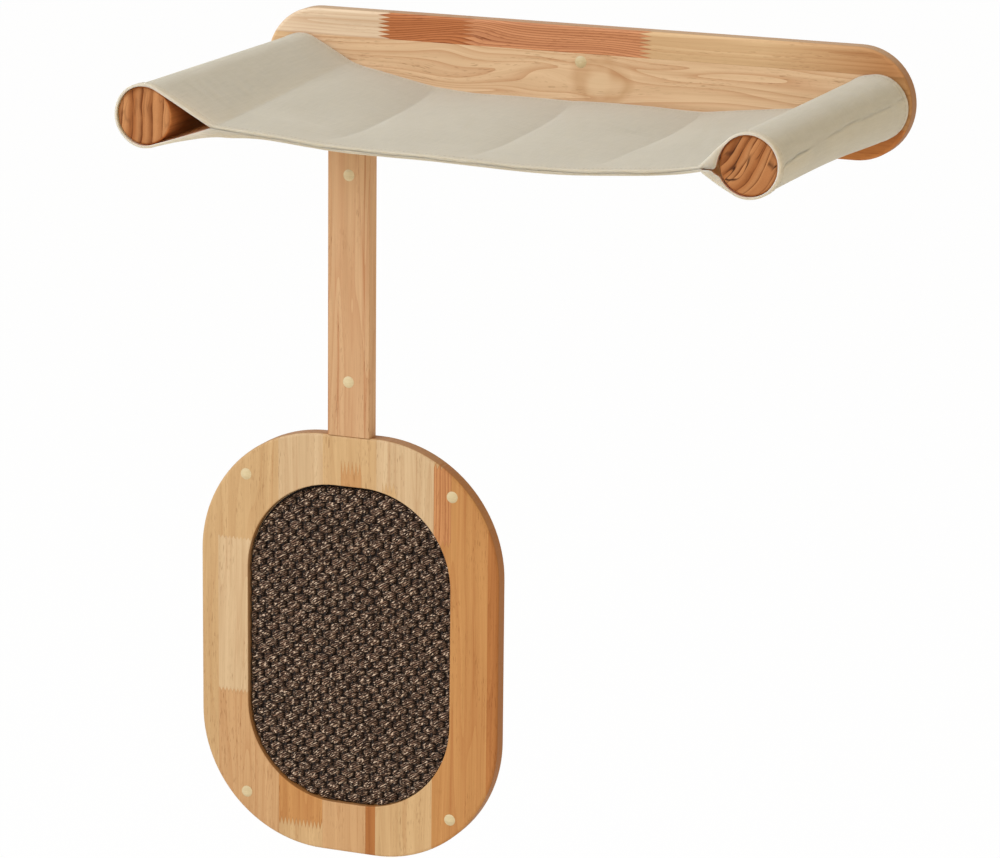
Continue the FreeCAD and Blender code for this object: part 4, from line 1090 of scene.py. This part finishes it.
def join_rows(rows):
    """Several (points, faces) as one."""
    points, faces = [], []
    for row_points, row_faces in rows:
        base = len(points)
        points += list(row_points)
        faces += [tuple(base + index for index in face) for face in row_faces]
    return points, faces


def cloth_face(y, columns):
    """Points on the sling's outer face and their outward ways, at one depth, for loop columns."""
    _, face, normal = cloth_section(y)
    spots = [(face[c, 0], y, face[c, 1]) for c in columns]
    ways = [(normal[c, 0], 0.0, normal[c, 1]) for c in columns]
    return spots, ways


def make_stitches(thread):
    """Hem stitches round both hems and seam stitches beside the two sleeve seams. The lapped
    seam on the right sleeve is sewn inside its fold and shows none."""
    around = len(sling_loop(-100.0))
    every = list(range(around)) + [0]
    hems = []
    for y in (SLING_BACK - HEM_STITCH, SLING_FRONT + HEM_STITCH):
        spots, ways = cloth_face(y, every)
        hems.append(stitch_row(spots, ways))
    lower_first = DECK_STEPS + 1 + (2 * LINE_STEPS - 2 + ARC_STEPS + 1)
    seam_columns = (lower_first + 2, lower_first + DECK_STEPS - 2)
    depths = np.linspace(SLING_BACK - 3.0, SLING_FRONT + 3.0, 60)
    sections = [cloth_face(y, seam_columns) for y in depths]
    seams = []
    for k in range(len(seam_columns)):
        seams.append(stitch_row(*([section[part][k] for section in sections] for part in (0, 1))))
    points, faces = join_rows(hems + seams)
    return add_piece("sling_stitches", np.array(points) * MM, faces, "sling", thread)

# ---------------------------------------------------------------------------------------------
# Woven scratch mat. Lengths in this section are millimetres until the mesh is made.
# ---------------------------------------------------------------------------------------------

MAT_X, MAT_Z = -224.5, -548.0
MAT_HALF_WIDTH, MAT_HALF_HEIGHT, MAT_CORNER = 102.6, 153.6, 88.6
MAT_FRONT, MAT_BACK = -11.5, -6.1
ROW_PITCH = 7.8
FLOAT_PITCH = 14.87
WEAVE_TURN = math.radians(-1.46)
YARN_PLIES = 6
YARN_FIBRES = 12
YARN_SIDES = 20
YARN_STEP = 1.05
PLY_TWIST = -0.15  # radians per millimetre; the strands climb to the right
KNOT_HALF = 0.475  # half the length of a float that shows, as a share of the float pitch
# the shift bares a wider strip of the near-black ground along the mat's left and top edges: painted
# shade where the opening's rim shades the mat
YARN_SHIFT = (0.7, -0.7)  # of the yarns from the mat's middle, along X and Z
WARP_SIDES = 6
WARP_STEP = 1.3
WEAVE_SEED = 7


def beyond_outline(x, z, inset):
    """Distance outside the mat's rounded outline, negative inside, and the way out."""
    corner = MAT_CORNER - inset
    side_x = np.abs(x) - (MAT_HALF_WIDTH - inset - corner)
    side_z = np.abs(z) - (MAT_HALF_HEIGHT - inset - corner)
    out_x, out_z = np.maximum(side_x, 0), np.maximum(side_z, 0)
    length = np.hypot(out_x, out_z)
    distance = length + np.minimum(np.maximum(side_x, side_z), 0) - corner
    way_x = np.where(length > 1e-6, out_x / np.maximum(length, 1e-6), 0) * np.sign(x)
    way_z = np.where(length > 1e-6, out_z / np.maximum(length, 1e-6), 0) * np.sign(z)
    return distance, way_x, way_z


def clip_to_outline(points, faces, inset=1.5):
    """Drops what lies outside the mat's outline and presses the rest of the edge inside it.
    points holds x, y, z from the mat's middle."""
    distance, way_x, way_z = beyond_outline(points[:, 0], points[:, 2], inset)
    outside = distance > 0
    kept = [face for face in faces if not all(outside[i] for i in face)]
    moved = points.copy()
    moved[:, 0] -= np.where(outside, distance * way_x, 0)
    moved[:, 2] -= np.where(outside, distance * way_z, 0)
    used = sorted({i for face in kept for i in face})
    place = {old: new for new, old in enumerate(used)}
    return moved[used], [tuple(place[i] for i in face) for face in kept], used


def yarn_row(row, rng):
    """One thick twisted yarn of the mat, over and under the warps: each float is a round knot.
    Gives its points and, for each, its place along the yarn and round it and its share of painted light,
    highest where the knot stands out and on the yarn's front half."""
    half = MAT_HALF_WIDTH + 6
    s = np.arange(-half, half + YARN_STEP, YARN_STEP)
    drift = 0.05 * np.interp(s, np.linspace(-half, half, 30), rng.uniform(-1, 1, 30))
    from_crest = (s / FLOAT_PITCH + drift + 0.5 * (row % 2) + 0.5) % 1.0 - 0.5
    crest = np.sqrt(np.clip(1 - (from_crest / KNOT_HALF) ** 2, 0, 1))
    wander = 0.25 * np.sin(s / 17.0 + rng.uniform(0, 6.28))
    z0 = row * ROW_PITCH + wander
    size = 1 + 0.15 * np.interp(s, np.linspace(-half, half, 28), rng.uniform(-1, 1, 28))
    y0 = MAT_FRONT + 2.7 + 2.9 * (1 - crest) ** 1.3
    half_high = (1.7 + 2.8 * crest) * size
    half_deep = (1.3 + 1.4 * crest) * size
    # twelve sides on the front half, eight behind, and the seam of the count at the very back
    front = np.linspace(0, math.pi, 13)
    behind = np.linspace(math.pi, 2 * math.pi, 9)[1:-1]
    turns = np.concatenate([behind[4:] - 2 * math.pi, front, behind[:4]])
    strand_turns = turns - (PLY_TWIST * s + rng.uniform(0, 6.28))[:, None]
    ribbed = 1 + 0.07 * np.cos(YARN_PLIES * strand_turns)
    along = np.repeat(s[:, None], YARN_SIDES, axis=1)
    deep = y0[:, None] - half_deep[:, None] * ribbed * np.sin(turns)
    high = z0[:, None] + half_high[:, None] * ribbed * np.cos(turns)
    # painted light: the share is highest on the knots' crests and on the yarn's front half
    painted_light_share = crest[:, None] * (0.55 + 0.45 * np.maximum(np.sin(turns), 0.0))
    places = np.stack([along + 300 * row, strand_turns, painted_light_share], axis=2)
    return np.stack([along, deep, high], axis=2), places


def weave_piece(name, points, faces, material, shift=(0.0, 0.0)):
    """A part of the weave, turned, clipped to the mat and put in its place. Gives the piece and
    the numbers of the points that are left."""
    cosine, sine = math.cos(WEAVE_TURN), math.sin(WEAVE_TURN)
    x, y, z = points.T
    turned = np.column_stack([x * cosine - z * sine, y, x * sine + z * cosine])
    kept, faces, used = clip_to_outline(turned, faces)
    kept += (MAT_X + shift[0], 0, MAT_Z + shift[1])
    return add_piece(name, kept * MM, faces, "tree", material), used


def make_yarns(material):
    """The mat's thick yarns. Each point keeps its place along and round its yarn and its share of
    painted light for the looks.
    """
    rng = np.random.default_rng(WEAVE_SEED)
    rows = int(MAT_HALF_HEIGHT / ROW_PITCH) + 2
    points, faces, places = [], [], []
    for row in range(-rows, rows + 1):
        row_points, row_places = yarn_row(row, rng)
        base = sum(len(part) for part in points)
        faces += grid_faces(len(row_points), YARN_SIDES, base, wrap=True)
        points.append(row_points.reshape(-1, 3))
        places.append(row_places.reshape(-1, 3))
    yarns, used = weave_piece("mat_yarns", np.concatenate(points), faces, material, YARN_SHIFT)
    place = yarns.data.attributes.new("yarn_place", "FLOAT_VECTOR", "POINT")
    place.data.foreach_set("vector", np.concatenate(places)[used].astype(np.float32).ravel())
    return yarns


def make_warps(material):
    """Thin upright threads, which the yarns pass over and under."""
    columns = int(MAT_HALF_WIDTH / (FLOAT_PITCH / 2)) + 2
    half = MAT_HALF_HEIGHT + 6
    s = np.arange(-half, half + WARP_STEP, WARP_STEP)
    turns = np.arange(WARP_SIDES) * 2 * math.pi / WARP_SIDES
    points, faces = [], []
    for column in range(-columns, columns + 1):
        middle = MAT_FRONT + 2.8 + 1.5 * np.sin(math.pi * s / ROW_PITCH + math.pi * column)
        ring = np.zeros((len(s), WARP_SIDES, 3))
        ring[:, :, 0] = (column + 0.5) * FLOAT_PITCH / 2 + 0.9 * np.cos(turns)
        ring[:, :, 1] = middle[:, None] - 0.8 * np.sin(turns)
        ring[:, :, 2] = s[:, None]
        base = sum(len(part) for part in points)
        points.append(ring.reshape(-1, 3))
        faces += grid_faces(len(s), WARP_SIDES, base, wrap=True)
    return weave_piece("mat_warps", np.concatenate(points), faces, material)[0]


def make_mat(yarn_material, warp_material):
    """The mat: its weave on the ground cloth, which lies on the backing board."""
    weave = [make_yarns(yarn_material), make_warps(warp_material)]
    backing = make_mat_backing(warp_material)
    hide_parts("scratch_mat")


def make_mat_backing(material):
    """The latex-backed ground cloth that the yarns stand on, a thin sheet on the board."""
    outline = []
    for centre_x, centre_z, first in ((1, 1, 0), (-1, 1, 90), (-1, -1, 180), (1, -1, 270)):
        for turn in np.radians(np.linspace(first, first + 90, 17)):
            outline.append((centre_x * (MAT_HALF_WIDTH - MAT_CORNER) + MAT_CORNER * math.cos(turn),
                            centre_z * (MAT_HALF_HEIGHT - MAT_CORNER) + MAT_CORNER * math.sin(turn)))
    outline = np.array(outline) * 0.996 + (MAT_X, MAT_Z)
    count = len(outline)
    front = np.column_stack([outline[:, 0], np.full(count, MAT_BACK - 1.5), outline[:, 1]])
    back = np.column_stack([outline[:, 0], np.full(count, MAT_BACK), outline[:, 1]])
    points = np.concatenate([front, back]) * MM
    faces = [tuple(range(count)), tuple(reversed(range(count, 2 * count)))]
    faces += [(k, k + count, (k + 1) % count + count, (k + 1) % count) for k in range(count)]
    return add_piece("mat_ground", points, faces, "tree", material, smooth=False)


def yarn_material():
    """Dark brown sisal: strands that follow the twist and pale flecks on them, with painted light on the
    knots' fronts and painted shade, near black, where the yarn dives between knots and on its back.
    """
    tree = new_material("sisal_yarn", Roughness=0.6, Specular_IOR_Level=0.08)
    place = tree.node("ShaderNodeAttribute", out="Vector", attribute_name="yarn_place")
    along, around, crest = tree.split(place)

    def fibres(along_scale, around_scale, shift):
        spot = tree.vector(along * along_scale, around * around_scale, shift)
        return tree.noise(spot, 1.0, 1.0)

    coarse = fibres(0.14, YARN_FIBRES / 6.28, 0.0)
    fine = fibres(0.34, YARN_FIBRES / 4.4, 5.0)
    wobble = (coarse - 0.5) * 1.6
    strand = tree.math("COSINE", around * float(YARN_FIBRES) + wobble) * 0.5 + 0.5
    # painted light and shade: pale strands and flecks show only where the share of painted light is
    # high, and the yarn's tone sinks to near black where it dives between knots and on its back
    lit = tree.span(crest, 0.0, 0.7) * tree.span(coarse, 0.42, 0.62, 0.10, 1.0)
    colour = tree.mix(tree.span(crest, 0.0, 0.6), rgb(12, 6, 3), rgb(28, 16, 10))
    colour = tree.mix(strand ** 1.6 * lit, colour, rgb(154, 119, 96))
    fleck = tree.span(fine, 0.58, 0.66) * tree.span(crest, 0.3, 0.8)
    colour = tree.mix(fleck * 0.9, colour, rgb(226, 198, 170))
    return finish_material(tree, colour, fine * 0.4 + strand, 0.0005, 0.7)


def warp_material():
    """Near-black thread between the yarns, and the ground cloth; their near black is partly painted
    shade deep between the yarns.
    """
    tree = new_material("sisal_ground", Roughness=0.85)
    fuzz = tree.noise(tree.object_point(), 1400.0, 3.0)
    return finish_material(tree, tree.mix(fuzz, rgb(14, 7, 3), rgb(38, 23, 14)), fuzz, 0.0003, 0.6)

# ---------------------------------------------------------------------------------------------
# The whole scene
# ---------------------------------------------------------------------------------------------

make_camera()
make_surroundings()
make_floor()
for lamp in LAMPS:
    make_lamp(*lamp)

dress_wood_and_metal()
cloth = make_canvas_sling(canvas_material())
stitches = make_stitches(thread_material("cream_thread", (194, 182, 160)))
make_mat(yarn_material(), warp_material())
